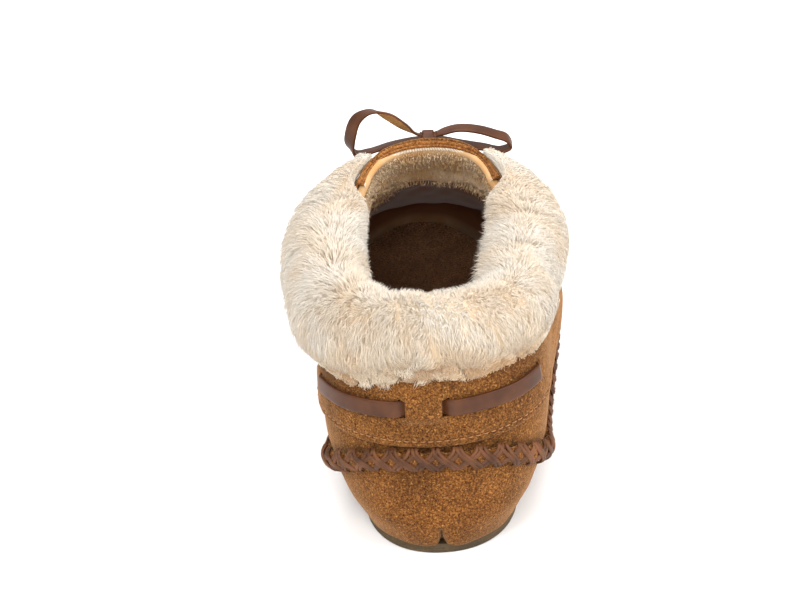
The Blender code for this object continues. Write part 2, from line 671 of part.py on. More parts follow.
# Bow: places from the knot's middle in metres, then the way the lace's width points
LOOP_LEFT = (
    (-0.0040, 0.0005, 0.0012, 0.0, 1.0, 0.2),
    (-0.0095, 0.0010, 0.0048, -0.2, 1.0, 0.3),
    (-0.0155, 0.0015, 0.0090, -0.3, 1.0, 0.3),
    (-0.0215, 0.0015, 0.0112, -0.1, 1.0, 0.1),
    (-0.0270, 0.0010, 0.0088, 0.0, 1.0, -0.2),
    (-0.0300, 0.0005, 0.0025, 0.1, 1.0, -0.1),
    (-0.0305, 0.0005, -0.0030, 0.1, 1.0, 0.0),
    (-0.0285, 0.0010, -0.0062, 0.0, 1.0, 0.0),
    (-0.0240, 0.0015, -0.0058, 0.0, 1.0, 0.2),
    (-0.0150, 0.0020, -0.0035, 0.0, 1.0, 0.2),
    (-0.0042, 0.0018, -0.0018, 0.0, 1.0, 0.2),
)
LOOP_RIGHT = (
    (0.0040, 0.0005, 0.0012, 0.0, 1.0, -0.3),
    (0.0110, 0.0010, 0.0028, 0.0, 1.0, -0.4),
    (0.0190, 0.0015, 0.0018, 0.0, 1.0, -0.4),
    (0.0260, 0.0020, -0.0008, 0.0, 1.0, -0.3),
    (0.0310, 0.0025, -0.0035, 0.0, 1.0, -0.2),
    (0.0320, 0.0025, -0.0062, 0.0, 1.0, 0.0),
    (0.0290, 0.0020, -0.0075, 0.0, 1.0, 0.0),
    (0.0210, 0.0015, -0.0058, 0.0, 1.0, 0.0),
    (0.0120, 0.0015, -0.0038, 0.0, 1.0, 0.0),
    (0.0042, 0.0015, -0.0018, 0.0, 1.0, 0.0),
)


def build_loop(name, route):
    centre = knot_centre()
    points = [tuple(centre + np.array(row[:3])) + tuple(row[3:]) for row in route]
    return ribbon(name, points)


# Ends of the lace lying forward on the vamp: height as a share of the instep, turn off the middle
Tail = namedtuple("Tail", "height turn out")
TAIL = (Tail(0.885, 2.6, 0.0032), Tail(0.83, 3.6, 0.0022), Tail(0.76, 4.8, 0.0019), Tail(0.69, 5.6, 0.0019),
        Tail(0.63, 5.9, 0.0019))


def build_tail(name, side):
    points = []
    for row in TAIL:
        height, turn = row.height * INSTEP_HEIGHT, 180 - side * row.turn
        place = skin(height, turn, row.out)
        points.append(tuple(place) + (1.0, 0.0, 0.0))
    return ribbon(name, points)


def main():
    for item in list(bpy.data.objects):
        bpy.data.objects.remove(item)
    build_outsole()
    build_upper()
    build_insole()
    build_cuff()
    build_band()
    build_heel_lace()
    build_braid()
    build_binding()
    build_front_lace()
    build_knot()
    build_loop("bow_loop_left", LOOP_LEFT)
    build_loop("bow_loop_right", LOOP_RIGHT)
    build_tail("bow_tail_right", 1)
    build_tail("bow_tail_left", -1)


main()
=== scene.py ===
import math

import bpy
import numpy as np
from mathutils import Matrix


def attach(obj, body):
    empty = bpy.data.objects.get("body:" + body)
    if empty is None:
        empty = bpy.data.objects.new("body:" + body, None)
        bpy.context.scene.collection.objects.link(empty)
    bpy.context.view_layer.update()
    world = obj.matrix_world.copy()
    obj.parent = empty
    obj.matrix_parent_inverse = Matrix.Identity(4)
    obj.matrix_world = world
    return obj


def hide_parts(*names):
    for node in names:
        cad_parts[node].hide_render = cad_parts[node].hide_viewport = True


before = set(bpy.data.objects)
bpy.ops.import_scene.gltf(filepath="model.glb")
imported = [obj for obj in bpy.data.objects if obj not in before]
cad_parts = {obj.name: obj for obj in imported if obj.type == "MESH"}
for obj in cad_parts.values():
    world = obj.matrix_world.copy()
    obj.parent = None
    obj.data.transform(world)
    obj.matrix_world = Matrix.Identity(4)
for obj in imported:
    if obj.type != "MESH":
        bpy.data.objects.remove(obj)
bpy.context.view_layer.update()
rng = np.random.default_rng(11)

# Sizes of the shoe in metres, the same form as the solids
shoe = {
    "soleLength": 0.246, "heelSeat": 0.045, "heelRound": 0.036, "heelWidth": 0.083, "ballWidth": 0.096,
    "instep": 0.106, "heel": 0.086, "wall": 0.0075, "throatWall": 0.0045, "footWall": 0.0045,
    "flange": 0.009, "flangeThick": 0.002, "innerLow": 0.009, "soleThick": 0.004, "archRise": 0.0015,
    "toeSpring": 0.007, "gap": 0.0003, "softGap": 0.0006, "endPower": 2.15, "waist": 0.33, "ball": 0.65,
    "toeWidth": 0.97,         # of the ball's width, towards the tip
    "bend": (0.55, 0.82, 1.5),    # how the outline's middle bends towards the big toe
    "archPlace": (0.41, 0.13), "springPlace": (0.76, 0.24),    # along the sole: place and reach
    "rimRise": (0.0022, 149, 154),    # the throat's rim above the collar's line, and its turns
    "thinWall": (135, 20, 0.60, 0.3),    # turn, height and their reaches where the wall thins
}
# height, heel, front, tip, right heel, left heel, right waist, left waist, right ball, left ball
contours = (
    (0.000, 0.006, 0.992, -0.033, 0.66, 0.65, 0.75, 0.63, 0.86, 0.86),
    (0.075, -0.012, 1.012, -0.033, 0.79, 0.78, 0.92, 0.80, 0.93, 0.96),
    (0.187, -0.011, 1.012, -0.030, 0.92, 0.91, 1.03, 0.93, 0.975, 1.00),
    (0.355, -0.009, 0.935, -0.024, 1.00, 0.99, 1.14, 1.04, 0.945, 0.94),
    (0.523, -0.005, 0.775, -0.015, 1.00, 0.99, 1.18, 1.10, 0.87, 0.85),
    (0.692, 0.000, 0.655, -0.008, 0.96, 0.95, 1.12, 1.05, 0.79, 0.77),
    (0.841, 0.008, 0.567, -0.004, 0.90, 0.89, 0.96, 0.94, 0.69, 0.67),
    (1.000, 0.020, 0.488, 0.000, 0.82, 0.82, 0.84, 0.84, 0.52, 0.52),
)
collarRows = ((0, 0.0), (60, -0.12), (100, -0.08), (130, 0.22), (150, 0.66), (165, 0.92), (180, 1.0))
braidRows = ((0, 0.442), (28, 0.420), (55, 0.320), (76, 0.245), (100, 0.212), (130, 0.215),
             (155, 0.265), (170, 0.335), (180, 0.355))
soleRows = ((0.15, 0.595, 0.585), (0.42, 0.675, 0.575), (0.70, 0.895, 0.885))   # station, right, left


# Smooth curve through a table's points, level at both ends if asked
def curve(x, xs, ys, level=False):
    xs, ys = np.asarray(xs, float), np.asarray(ys, float)
    slope = np.gradient(ys, xs)
    if level:
        slope[0] = slope[-1] = 0
    x = np.clip(x, xs[0], xs[-1])
    i = np.clip(np.searchsorted(xs, x, side="right") - 1, 0, len(xs) - 2)
    span = xs[i + 1] - xs[i]
    t = (x - xs[i]) / span
    a, b = 2 * t**3 - 3 * t**2 + 1, t**3 - 2 * t**2 + t
    c, d = -2 * t**3 + 3 * t**2, t**3 - t**2
    return a * ys[i] + b * span * slope[i] + c * ys[i + 1] + d * span * slope[i + 1]


def signedTurn(turn):                 # from -180 to 180 degrees
    return (np.asarray(turn, float) + 180) % 360 - 180


def fold(turn):                       # 0 at the back of the heel, 180 at the toe, on either side
    return np.abs(signedTurn(turn))


def byTurn(rows, turn, column=1):
    return curve(fold(turn), [row[0] for row in rows], [row[column] for row in rows], level=True)


def smoothStep(x, low, high):
    t = np.clip((np.asarray(x, float) - low) / (high - low), 0, 1)
    return t * t * (3 - 2 * t)


def bell(x, width):
    return np.exp(-(x / width) ** 2)


def alongRun(points):                 # distance run along a line of points
    return np.concatenate([[0], np.cumsum(np.linalg.norm(np.diff(points, axis=0), axis=1))])


def roundEnds(share, heelShare, ballShare):
    heel = np.clip((heelShare - share) / heelShare, 0, 1)
    toe = np.clip((share - ballShare) / (1 - ballShare), 0, 1)
    power = shoe["endPower"]
    return (1 - heel**power) ** (1 / power) * (1 - toe**power) ** (1 / power)


def bigToeSide(share, tip=contours[0][3]):    # sideways place of the outline's middle
    reach, start, power = shoe["bend"]
    return tip * shoe["soleLength"] * np.clip(share / reach - start, 0, 1) ** power


def contourRadius(height, turns):
    rows = [row[0] * shoe["instep"] for row in contours]
    row = [float(curve(height, rows, [r[k] for r in contours])) for k in range(10)]
    back, length = row[1] * shoe["soleLength"] - shoe["heelSeat"], (row[2] - row[1]) * shoe["soleLength"]
    heelShare = shoe["heelRound"] / length
    stations = (0, heelShare, heelShare + (1 - heelShare) * shoe["waist"],
                heelShare + (1 - heelShare) * shoe["ball"], 1)
    share = (1 - np.cos(np.linspace(0, math.pi, 541))) / 2
    middle = bigToeSide(share, row[3])
    ends = roundEnds(share, heelShare, stations[3])
    sides = []
    for side, k in ((1, 4), (-1, 5)):
        heel, waist = row[k] * shoe["heelWidth"] / 2, row[k + 2] * shoe["heelWidth"] / 2
        ball = row[k + 4] * shoe["ballWidth"] / 2
        width = curve(share, stations, (heel, heel, waist, ball, ball * shoe["toeWidth"]))
        sides.append(np.stack([middle + side * width * ends, back + length * share], 1))
    ring = np.concatenate([sides[0], sides[1][-2:0:-1]])
    turn = np.degrees(np.arctan2(ring[:, 0], -ring[:, 1])) % 360
    return np.interp(turns, turn, np.hypot(ring[:, 0], ring[:, 1]), period=360)


formHeights, formTurns = np.linspace(0, shoe["instep"], 161), np.linspace(0, 360, 1441)
formRadius = np.array([contourRadius(height, formTurns) for height in formHeights])


def lift(y):                          # arch and toe spring
    station = (np.asarray(y, float) + shoe["heelSeat"]) / shoe["soleLength"]
    (archMiddle, archReach), (toeStart, toeReach) = shoe["archPlace"], shoe["springPlace"]
    arch = np.clip(1 - np.abs(station - archMiddle) / archReach, 0, 1)
    toe = np.clip((station - toeStart) / toeReach, 0, 1)
    return shoe["archRise"] * arch**2 * (3 - 2 * arch) + shoe["toeSpring"] * toe**2


def surface(height, turn):            # a point on the suede's outer face
    height, turn = np.broadcast_arrays(np.asarray(height, float), np.asarray(turn, float) % 360)
    row = np.clip(height / shoe["instep"], 0, 1) * (len(formHeights) - 1)
    col = turn / 360 * (len(formTurns) - 1)
    i, j = np.minimum(row.astype(int), len(formHeights) - 2), np.minimum(col.astype(int), len(formTurns) - 2)
    a, b = row - i, col - j
    radius = ((formRadius[i, j] * (1 - b) + formRadius[i, j + 1] * b) * (1 - a)
              + (formRadius[i + 1, j] * (1 - b) + formRadius[i + 1, j + 1] * b) * a)
    angle = np.radians(turn)
    x, y = radius * np.sin(angle), -radius * np.cos(angle)
    return np.stack([x, y, shoe["soleThick"] + height + lift(y)], -1)


def unit(vectors):
    return vectors / np.maximum(np.linalg.norm(vectors, axis=-1, keepdims=True), 1e-12)


def outward(height, turn):
    height = np.minimum(height, shoe["instep"])
    up = (surface(np.minimum(height + 0.0015, shoe["instep"]), turn)
          - surface(np.maximum(height - 0.0015, 0), turn))
    along = surface(height, np.asarray(turn) + 1.5) - surface(height, np.asarray(turn) - 1.5)
    return unit(np.cross(along, up))


def outwardLevel(height, turn):
    return unit(outward(height, turn) * (1, 1, 0))


def skin(height, turn, out=0.0):
    return surface(height, turn) + outward(height, turn) * np.asarray(out, float)[..., None]


def collar(turn):
    return shoe["heel"] + (shoe["instep"] - shoe["heel"]) * byTurn(collarRows, turn)


def rimRise(turn):                    # the throat's rim stands a little above the collar's line
    high, start, full = shoe["rimRise"]
    return high * smoothStep(fold(turn), start, full)


def braidHeight(turn):
    return shoe["heel"] * byTurn(braidRows, turn)


def wall(height, turn):
    turnStart, turnReach, heightStart, heightReach = shoe["thinWall"]
    front = np.clip((fold(turn) - turnStart) / turnReach, 0, 1)
    high = np.clip((height / shoe["instep"] - heightStart) / heightReach, 0, 1)
    return shoe["wall"] + (shoe["throatWall"] - shoe["wall"]) * front * high


def evenTurns(height, count):
    fine = np.linspace(0, 360, 2881)
    steps = alongRun(surface(height, fine))
    return np.interp(np.linspace(0, steps[-1], count), steps, fine)


def wallFoot(turns):                  # the wall's inner foot
    low = shoe["flangeThick"]
    return surface(low, turns) - outwardLevel(low, turns) * shoe["footWall"]


# Meshes from arrays
def gridFaces(rows, cols, closeRows=False):
    i = np.arange(rows if closeRows else rows - 1)[:, None]
    j = np.arange(cols)[None, :]
    k, m = (i + 1) % rows, (j + 1) % cols
    return np.stack([i * cols + j, i * cols + m, k * cols + m, k * cols + j], -1).reshape(-1, 4)


# One piece from points and faces: faces turned outwards, smooth, riding on the shoe
def makePiece(name, points, faceSets, finishes, nodes=(), faceFinish=None, values=None, sharp=None):
    points = np.asarray(points, float).reshape(-1, 3)
    volume = 0.0
    for faces in faceSets:
        corner = points[faces]
        for k in range(1, faces.shape[1] - 1):
            volume += np.einsum("ij,ij->", corner[:, 0], np.cross(corner[:, k], corner[:, k + 1]))
    if volume < 0:
        faceSets = [faces[:, ::-1] for faces in faceSets]
    loops = np.concatenate([faces.ravel() for faces in faceSets]).astype(np.int32)
    sizes = np.concatenate([np.full(len(faces), faces.shape[1]) for faces in faceSets])
    starts = np.concatenate([[0], np.cumsum(sizes)[:-1]]).astype(np.int32)
    mesh = bpy.data.meshes.new(name)
    mesh.vertices.add(len(points))
    mesh.vertices.foreach_set("co", points.astype(np.float32).ravel())
    mesh.loops.add(len(loops))
    mesh.loops.foreach_set("vertex_index", loops)
    mesh.polygons.add(len(sizes))
    mesh.polygons.foreach_set("loop_start", starts)
    mesh.update(calc_edges=True)
    for finish in finishes:
        mesh.materials.append(finish)
    if faceFinish is not None:
        mesh.polygons.foreach_set("material_index", np.asarray(faceFinish, np.int32))
    for key, numbers in (values or {}).items():
        layer = mesh.attributes.new(key, "FLOAT", "POINT")
        layer.data.foreach_set("value", np.asarray(numbers, np.float32).ravel())
    mesh.shade_smooth()
    if sharp:
        mesh.set_sharp_from_angle(angle=math.radians(sharp))
    piece = bpy.data.objects.new(name, mesh)
    bpy.context.scene.collection.objects.link(piece)
    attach(piece, "root")
    if nodes:
        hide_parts(*nodes)
    return piece


def ellipse(count, halfWidth, halfHeight):
    angle = np.linspace(0, 2 * math.pi, count, endpoint=False)
    return np.stack([np.cos(angle) * halfWidth, np.sin(angle) * halfHeight], 1)


def stripSection(width, thickness, count=16, power=0.42):
    angle = np.linspace(0, 2 * math.pi, count, endpoint=False) + math.pi / count
    c, s = np.cos(angle), np.sin(angle)
    return np.stack([np.sign(c) * np.abs(c) ** power * width / 2,
                     np.sign(s) * np.abs(s) ** power * thickness / 2], 1)


# Many tubes at once: paths (tube, point, xyz), a direction that the section's second axis keeps to
def tubes(paths, ups, section, taper=None):
    paths = np.asarray(paths, float)
    tangent = unit(np.gradient(paths, axis=1))
    ups = unit(ups - tangent * np.sum(ups * tangent, axis=-1, keepdims=True))
    across = np.cross(ups, tangent)
    scale = np.ones(paths.shape[:2]) if taper is None else np.broadcast_to(taper, paths.shape[:2])
    scale = scale[..., None, None]
    points = (paths[:, :, None] + across[:, :, None] * section[:, 0, None] * scale
              + ups[:, :, None] * section[:, 1, None] * scale)
    count, length, around = points.shape[:3]
    base = (np.arange(count) * length * around)[:, None, None]
    quads = (gridFaces(length, around)[None] + base).reshape(-1, 4)
    ring = np.arange(around)
    starts = base[:, 0] + ring[::-1]
    ends = base[:, 0] + (length - 1) * around + ring
    return points.reshape(-1, 3), [quads, np.concatenate([starts, ends])]


# A tube that runs round and closes on itself
def ringTube(path, ups, section, scales):
    tangent = unit(np.roll(path, -1, axis=0) - np.roll(path, 1, axis=0))
    ups = unit(ups - tangent * np.sum(ups * tangent, axis=-1, keepdims=True))
    across = np.cross(ups, tangent)
    points = (path[:, None] + across[:, None] * section[None, :, 0, None] * scales[0][:, None, None]
              + ups[:, None] * section[None, :, 1, None] * scales[1][:, None, None])
    return points.reshape(-1, 3), [gridFaces(len(path), len(section), closeRows=True)]


# Tapered hairs: root, middle and tip points, each hair one closed spindle of six triangles
def hairs(roots, middles, tips, radius):
    axis = unit(tips - roots)
    side = unit(np.cross(axis, np.array([0.31, 0.17, 0.94])))
    other = np.cross(axis, side)
    count = len(roots)
    ring = []
    for angle in (0.0, 2.094, 4.189):
        ring.append(middles + (side * math.cos(angle) + other * math.sin(angle)) * radius[:, None])
    points = np.stack([roots, *ring, tips], 1)
    k = (np.arange(count) * 5)[:, None]
    corners = ((0, 2, 1), (0, 3, 2), (0, 1, 3), (1, 2, 4), (2, 3, 4), (3, 1, 4))
    faces = [k + np.array(corner) for corner in corners]
    return points.reshape(-1, 3), [np.concatenate(faces)]


def smoothPath(points, step):
    points = np.asarray(points, float)
    knots = alongRun(points[:, :3])
    fine = np.linspace(0, knots[-1], 600)
    dense = np.stack([curve(fine, knots, points[:, k]) for k in range(points.shape[1])], 1)
    run = alongRun(dense[:, :3])
    even = np.linspace(0, run[-1], max(3, int(round(run[-1] / step)) + 1))
    return np.stack([np.interp(even, run, dense[:, k]) for k in range(points.shape[1])], 1)


# Smooth random relief that runs round without a seam, its waves about a cell long
def relief(turn, height, seed, cell):
    own = np.random.default_rng(seed)
    total = 0
    for k in range(6):
        around = own.integers(2, int(0.58 / cell))
        phase, rate = own.uniform(0, 2 * math.pi), own.uniform(-1, 1) / cell
        total = total + np.cos(np.radians(turn) * around + phase + 2 * math.pi * rate * height)
    return total / 6


# Materials
def toLinear(colour):
    parts = [int(colour[i:i + 2], 16) / 255 for i in (1, 3, 5)]
    return tuple(p / 12.92 if p <= 0.04045 else ((p + 0.055) / 1.055) ** 2.4 for p in parts) + (1.0,)


def addNode(tree, kind, settings=None, links=None):
    node = tree.nodes.new("ShaderNode" + kind)
    for key, value in (settings or {}).items():
        if isinstance(key, str) and hasattr(node, key):
            setattr(node, key, value)
        else:
            node.inputs[key].default_value = value
    for key, source in (links or {}).items():
        tree.links.new(source, node.inputs[key])
    return node


def newMaterial(name, roughness, **sockets):
    material = bpy.data.materials.new(name)
    material.use_nodes = True
    shader = material.node_tree.nodes["Principled BSDF"]
    shader.inputs["Roughness"].default_value = roughness
    for key, value in sockets.items():
        shader.inputs[key.replace("_", " ")].default_value = value
    return material, material.node_tree, shader


# Noise of a size in metres
def noiseOf(tree, size, detail=2.0, rough=0.6, stretch=(1, 1, 1), seed=0.0):
    place = addNode(tree, "TexCoord")
    turned = addNode(tree, "Mapping", {"Scale": stretch, "Location": (seed, seed * 0.7, 0)},
                     {"Vector": place.outputs["Object"]})
    return addNode(tree, "TexNoise", {"Scale": 1 / size, "Detail": detail, "Roughness": rough},
                   {"Vector": turned.outputs["Vector"]})


def rampOf(tree, source, stops):
    ramp = addNode(tree, "ValToRGB", links={"Fac": source})
    elements = ramp.color_ramp.elements
    while len(elements) < len(stops):
        elements.new(0.5)
    for element, (place, colour) in zip(elements, stops):
        element.position = place
        element.color = toLinear(colour)
    return ramp.outputs["Color"]


def mixOf(tree, factor, first, second, blend="MIX"):
    settings, links = {"data_type": "RGBA", "blend_type": blend}, {}
    for key, value in ((0, factor), (6, first), (7, second)):
        if isinstance(value, (int, float, tuple)):
            settings[key] = value
        else:
            links[key] = value
    return addNode(tree, "Mix", settings, links).outputs[2]


def addBump(tree, shader, source, strength, distance):
    bump = addNode(tree, "Bump", {"Strength": strength, "Distance": distance},
                   {"Height": source.outputs["Fac"]})
    tree.links.new(bump.outputs["Normal"], shader.inputs["Normal"])


def valueOf(tree, key):               # a value that the mesh carries at each point
    return addNode(tree, "Attribute", {"attribute_name": key}).outputs["Fac"]


suedeLook = {
    "nap": 0.0007,            # speckle of the nap, drawn coarser than the real 0.2 mm fibres so that it shows
    "speck": 0.0008,          # painted glints on single fibre ends, and painted shade in the pits between them
    "patch": 0.016,           # brushed lighter and darker patches
    "drift": 0.070,           # dye drifting over the whole hide
    "bump": 0.00030,
}


# Suede: split leather with a brushed nap. The eye sees matt colour broken by painted glints on fibre ends
# and painted shade in the pits between them, with cloudy patches where the nap lies another way.
def suede(name, dark, middle, light, shadeKey=None):
    material, tree, shader = newMaterial(name, 0.95, Sheen_Weight=0.45, Sheen_Roughness=0.4,
                                         Specular_IOR_Level=0.15)
    shader.inputs["Sheen Tint"].default_value = toLinear("#e8b98a")
    nap = noiseOf(tree, suedeLook["nap"], 2.5, 0.75)
    colour = rampOf(tree, nap.outputs["Fac"], ((0.34, dark), (0.50, middle), (0.66, light)))
    patch = noiseOf(tree, suedeLook["patch"], 3, 0.6, seed=3.1)
    cloud = rampOf(tree, patch.outputs["Fac"], ((0.35, "#c4bcb2"), (0.65, "#fffaf2")))
    colour = mixOf(tree, 0.75, colour, cloud, "MULTIPLY")
    drift = noiseOf(tree, suedeLook["drift"], 1, 0.5, seed=7.7)
    cloud = rampOf(tree, drift.outputs["Fac"], ((0.38, "#d9cdc2"), (0.62, "#ffffff")))
    colour = mixOf(tree, 0.8, colour, cloud, "MULTIPLY")
    # painted glints added on the brightest specks, painted shade multiplied into the darkest pits
    glintAndPitSpecks = noiseOf(tree, suedeLook["speck"], 1, 0.5, seed=5.2)
    paintedGlints = rampOf(tree, glintAndPitSpecks.outputs["Fac"], ((0.655, "#000000"), (0.70, "#6e5230")))
    colour = mixOf(tree, 1.0, colour, paintedGlints, "ADD")
    paintedPitShade = rampOf(tree, glintAndPitSpecks.outputs["Fac"], ((0.30, "#8a7a6c"), (0.36, "#ffffff")))
    colour = mixOf(tree, 1.0, colour, paintedPitShade, "MULTIPLY")
    if shadeKey:
        colour = mixOf(tree, valueOf(tree, shadeKey), colour, toLinear("#2a1508"))
    tree.links.new(colour, shader.inputs["Base Color"])
    addBump(tree, shader, nap, 0.9, suedeLook["bump"])
    return material


# Full-grain lace leather, dyed and lightly waxed: smooth, with a soft broad gloss and fine pores
def laceLeather(name, base, light, gloss=0.42):
    material, tree, shader = newMaterial(name, gloss, Coat_Weight=0.04, Coat_Roughness=0.45,
                                         Specular_IOR_Level=0.22)
    pores = noiseOf(tree, 0.0007, 3, 0.6)
    tone = noiseOf(tree, 0.009, 2, 0.5, seed=2.0)
    colour = rampOf(tree, tone.outputs["Fac"], ((0.35, base), (0.68, light)))
    tree.links.new(colour, shader.inputs["Base Color"])
    addBump(tree, shader, pores, 0.35, 0.00012)
    return material


# Split flesh side of the lace: undyed, fibrous and matt
def fleshSide(name):
    material, tree, shader = newMaterial(name, 0.85)
    fibres = noiseOf(tree, 0.0009, 3, 0.7)
    colour = rampOf(tree, fibres.outputs["Fac"], ((0.35, "#8a5c26"), (0.65, "#b98a4c")))
    tree.links.new(colour, shader.inputs["Base Color"])
    addBump(tree, shader, fibres, 0.5, 0.0002)
    return material


# Wool on the hide, tanned and combed: pale, soft, warmer at the roots. It glows in its own colour,
# painted light that stands in for light passing from hair to hair.
def wool(name, root, middle, tip, warm, warmSize=0.020, paintedGlow=0.28):
    material, tree, shader = newMaterial(name, 0.75, Sheen_Weight=0.25, Sheen_Roughness=0.4,
                                         Emission_Strength=paintedGlow, Specular_IOR_Level=0.2)
    # along runs root to tip on hairs and tone gives each lock its own tone; on the lining both also carry
    # painted shade, and tone carries the cuff's painted shade low at the back
    colour = rampOf(tree, valueOf(tree, "along"), ((0.0, root), (0.45, middle), (1.0, tip)))
    cloud = noiseOf(tree, warmSize, 2, 0.5, seed=1.3)
    patches = rampOf(tree, cloud.outputs["Fac"], ((0.42, "#ffffff"), (0.64, warm)))
    colour = mixOf(tree, 0.8, colour, patches, "MULTIPLY")
    lock = rampOf(tree, valueOf(tree, "tone"), ((0.0, "#d3b28a"), (0.5, "#f4e8d6"), (1.0, "#ffffff")))
    colour = mixOf(tree, 0.9, colour, lock, "MULTIPLY")
    # sock: dark brown deep in the shoe, partly a dark lining and partly painted shade
    colour = mixOf(tree, valueOf(tree, "sock"), colour, toLinear("#7b4e33"))
    tree.links.new(colour, shader.inputs["Base Color"])
    # painted light: the wool's own colour glows
    tree.links.new(colour, shader.inputs["Emission Color"])
    return material


# Moulded crepe rubber: dense and matt, with faint flow and dust in its pores
def soleRubber(name):
    material, tree, shader = newMaterial(name, 0.72, Specular_IOR_Level=0.35)
    grain = noiseOf(tree, 0.0012, 3, 0.65)
    flow = noiseOf(tree, 0.02, 2, 0.5, stretch=(1, 1, 5), seed=4.0)
    colour = rampOf(tree, flow.outputs["Fac"], ((0.35, "#40331f"), (0.65, "#54442b")))
    speck = rampOf(tree, grain.outputs["Fac"], ((0.40, "#d0c4b0"), (0.60, "#ffffff")))
    tree.links.new(mixOf(tree, 0.6, colour, speck, "MULTIPLY"), shader.inputs["Base Color"])
    addBump(tree, shader, grain, 0.4, 0.0002)
    return material


# Spun polyester thread: a soft sheen along each twist
def thread(name, colour, light):
    material, tree, shader = newMaterial(name, 0.6, Sheen_Weight=0.2)
    twist = noiseOf(tree, 0.0006, 2, 0.6)
    tree.links.new(rampOf(tree, twist.outputs["Fac"], ((0.35, colour), (0.65, light))),
                   shader.inputs["Base Color"])
    return material


suedeUpper = suede("suede, brushed", "#4b2b0d", "#724a21", "#a8743e", "shade")
suedeBand = suede("suede, brushed, heel band", "#46280c", "#6b441e", "#9d6b38", "shade")
suedeEdge = suede("suede, cut edge", "#6e4319", "#9a6935", "#c4935a")
suedeRoll = suede("suede, rolled edge", "#683d16", "#925f30", "#bb8850")
suedeBump = suede("suede, padded seam", "#482a10", "#6f4722", "#9c6b3a")
insoleSuede = suede("suede, dark sock", "#6e4833", "#93694d", "#b08768")
leatherLace = laceLeather("lace leather, waxed", "#3d1f0c", "#512d16")
leatherBraid = laceLeather("braiding cord, rolled leather", "#3d220f", "#6b4226", 0.6)
leatherKnot = laceLeather("lace leather, pinched in the knot", "#3c2011", "#5e361f")
leatherFlesh = fleshSide("lace leather, flesh side")
furWool = wool("sheepskin wool, combed", "#b9b0a4", "#c3bcb2", "#ccc6bd", "#fbf0e2")
furBase = wool("sheepskin wool, dense roots", "#beb6aa", "#beb6aa", "#beb6aa", "#fbf0e2")
fleece = wool("fleece, clipped", "#c3a57c", "#d9c2a0", "#e6d6bc", "#f0d9b4", 0.012, 0.0)
rubber = soleRubber("crepe rubber, moulded")
threadPale = thread("polyester thread, pale", "#d8cab0", "#f4ecdc")
threadTan = thread("polyester thread, tan", "#7a4c20", "#a06c38")


def standing(place, sideways, upwards, backwards):    # where a camera or lamp stands, and its axes
    turned = np.stack([sideways, upwards, backwards], 1).tolist()
    return Matrix([[*row, number] for row, number in zip(turned, place)] + [[0, 0, 0, 1]])


# Camera at the photograph's angle, placed before the cords
view = {"place": (0.0265, -0.9778, 0.5893), "yaw": -0.0387, "pitch": 0.4783, "roll": -0.0607, "lens": 135.0}
ahead = np.array((math.sin(view["yaw"]) * math.cos(view["pitch"]),
                  math.cos(view["yaw"]) * math.cos(view["pitch"]), -math.sin(view["pitch"])))
level = np.array((math.cos(view["yaw"]), -math.sin(view["yaw"]), 0.0))
rise = np.cross(level, ahead)
right = math.cos(view["roll"]) * level + math.sin(view["roll"]) * rise
above = -math.sin(view["roll"]) * level + math.cos(view["roll"]) * rise
cameraData = bpy.data.cameras.new("camera")
cameraData.lens, cameraData.sensor_width = view["lens"], 36.0
camera = bpy.data.objects.new("camera", cameraData)
bpy.context.scene.collection.objects.link(camera)
camera.matrix_world = standing(view["place"], right, above, -ahead)
bpy.context.scene.camera = camera
print("camera placed")

# Leather lace: knot, loops, ends, front and heel runs
lace = {
    "width": 0.0063, "thickness": 0.0013, "solidThickness": 0.0015, "frontDrop": 0.0065, "frontEnd": 164.5,
    "knot": (0.0064, 0.0052, 0.0060), "wrap": 0.0047, "holeTurn": 57.0,
    "knotRaise": 0.0008,      # the knot above the lace that it lies on
    "wrapSunk": 0.0007,       # the wrap's middle inside the knot's outer size
    "step": 0.0008,           # between the points of a route
    "inKnot": 0.0015,         # a loop starts and ends this far from the knot's middle
    "taper": 0.006,           # stretch over which a loop widens out of the knot
    "frontRaise": 0.0004,     # the front run above the suede, on top of its own half thickness
    "sharp": 55,
}
# places from the knot's middle, then the way the lace's width points
loopLeft = (
    (-0.0040, 0.0005, 0.0012, -0.2, 0.9, -0.2), (-0.0095, 0.0010, 0.0048, -0.30, 0.72, -0.62),
    (-0.0155, 0.0015, 0.0090, -0.30, 0.72, -0.62), (-0.0215, 0.0015, 0.0112, -0.1, 1.0, -0.2),
    (-0.0270, 0.0010, 0.0088, -0.45, 0.88, 0.1), (-0.0300, 0.0005, 0.0025, -0.62, 0.76, 0.12),
    (-0.0305, 0.0005, -0.0030, -0.5, 0.85, 0.12), (-0.0285, 0.0010, -0.0062, 0.0, 1.0, 0.0),
    (-0.0240, 0.0015, -0.0058, 0.0, 1.0, -0.1), (-0.0150, 0.0020, -0.0035, 0.0, 1.0, -0.1),
    (-0.0042, 0.0018, -0.0018, 0.0, 1.0, 0.0),
)
loopRight = (
    (0.0040, 0.0005, 0.0012, 0.0, 1.0, 0.0), (0.0110, 0.0010, 0.0028, 0.0, 1.0, 0.0),
    (0.0190, 0.0015, 0.0018, 0.0, 1.0, 0.05), (0.0260, 0.0020, -0.0008, 0.0, 1.0, 0.1),
    (0.0310, 0.0025, -0.0035, 0.0, 1.0, 0.1), (0.0320, 0.0025, -0.0062, 0.0, 1.0, 0.0),
    (0.0290, 0.0020, -0.0075, 0.0, 1.0, 0.0), (0.0210, 0.0015, -0.0058, 0.0, 1.0, 0.0),
    (0.0120, 0.0015, -0.0038, 0.0, 1.0, 0.0), (0.0042, 0.0015, -0.0018, 0.0, 1.0, 0.0),
)
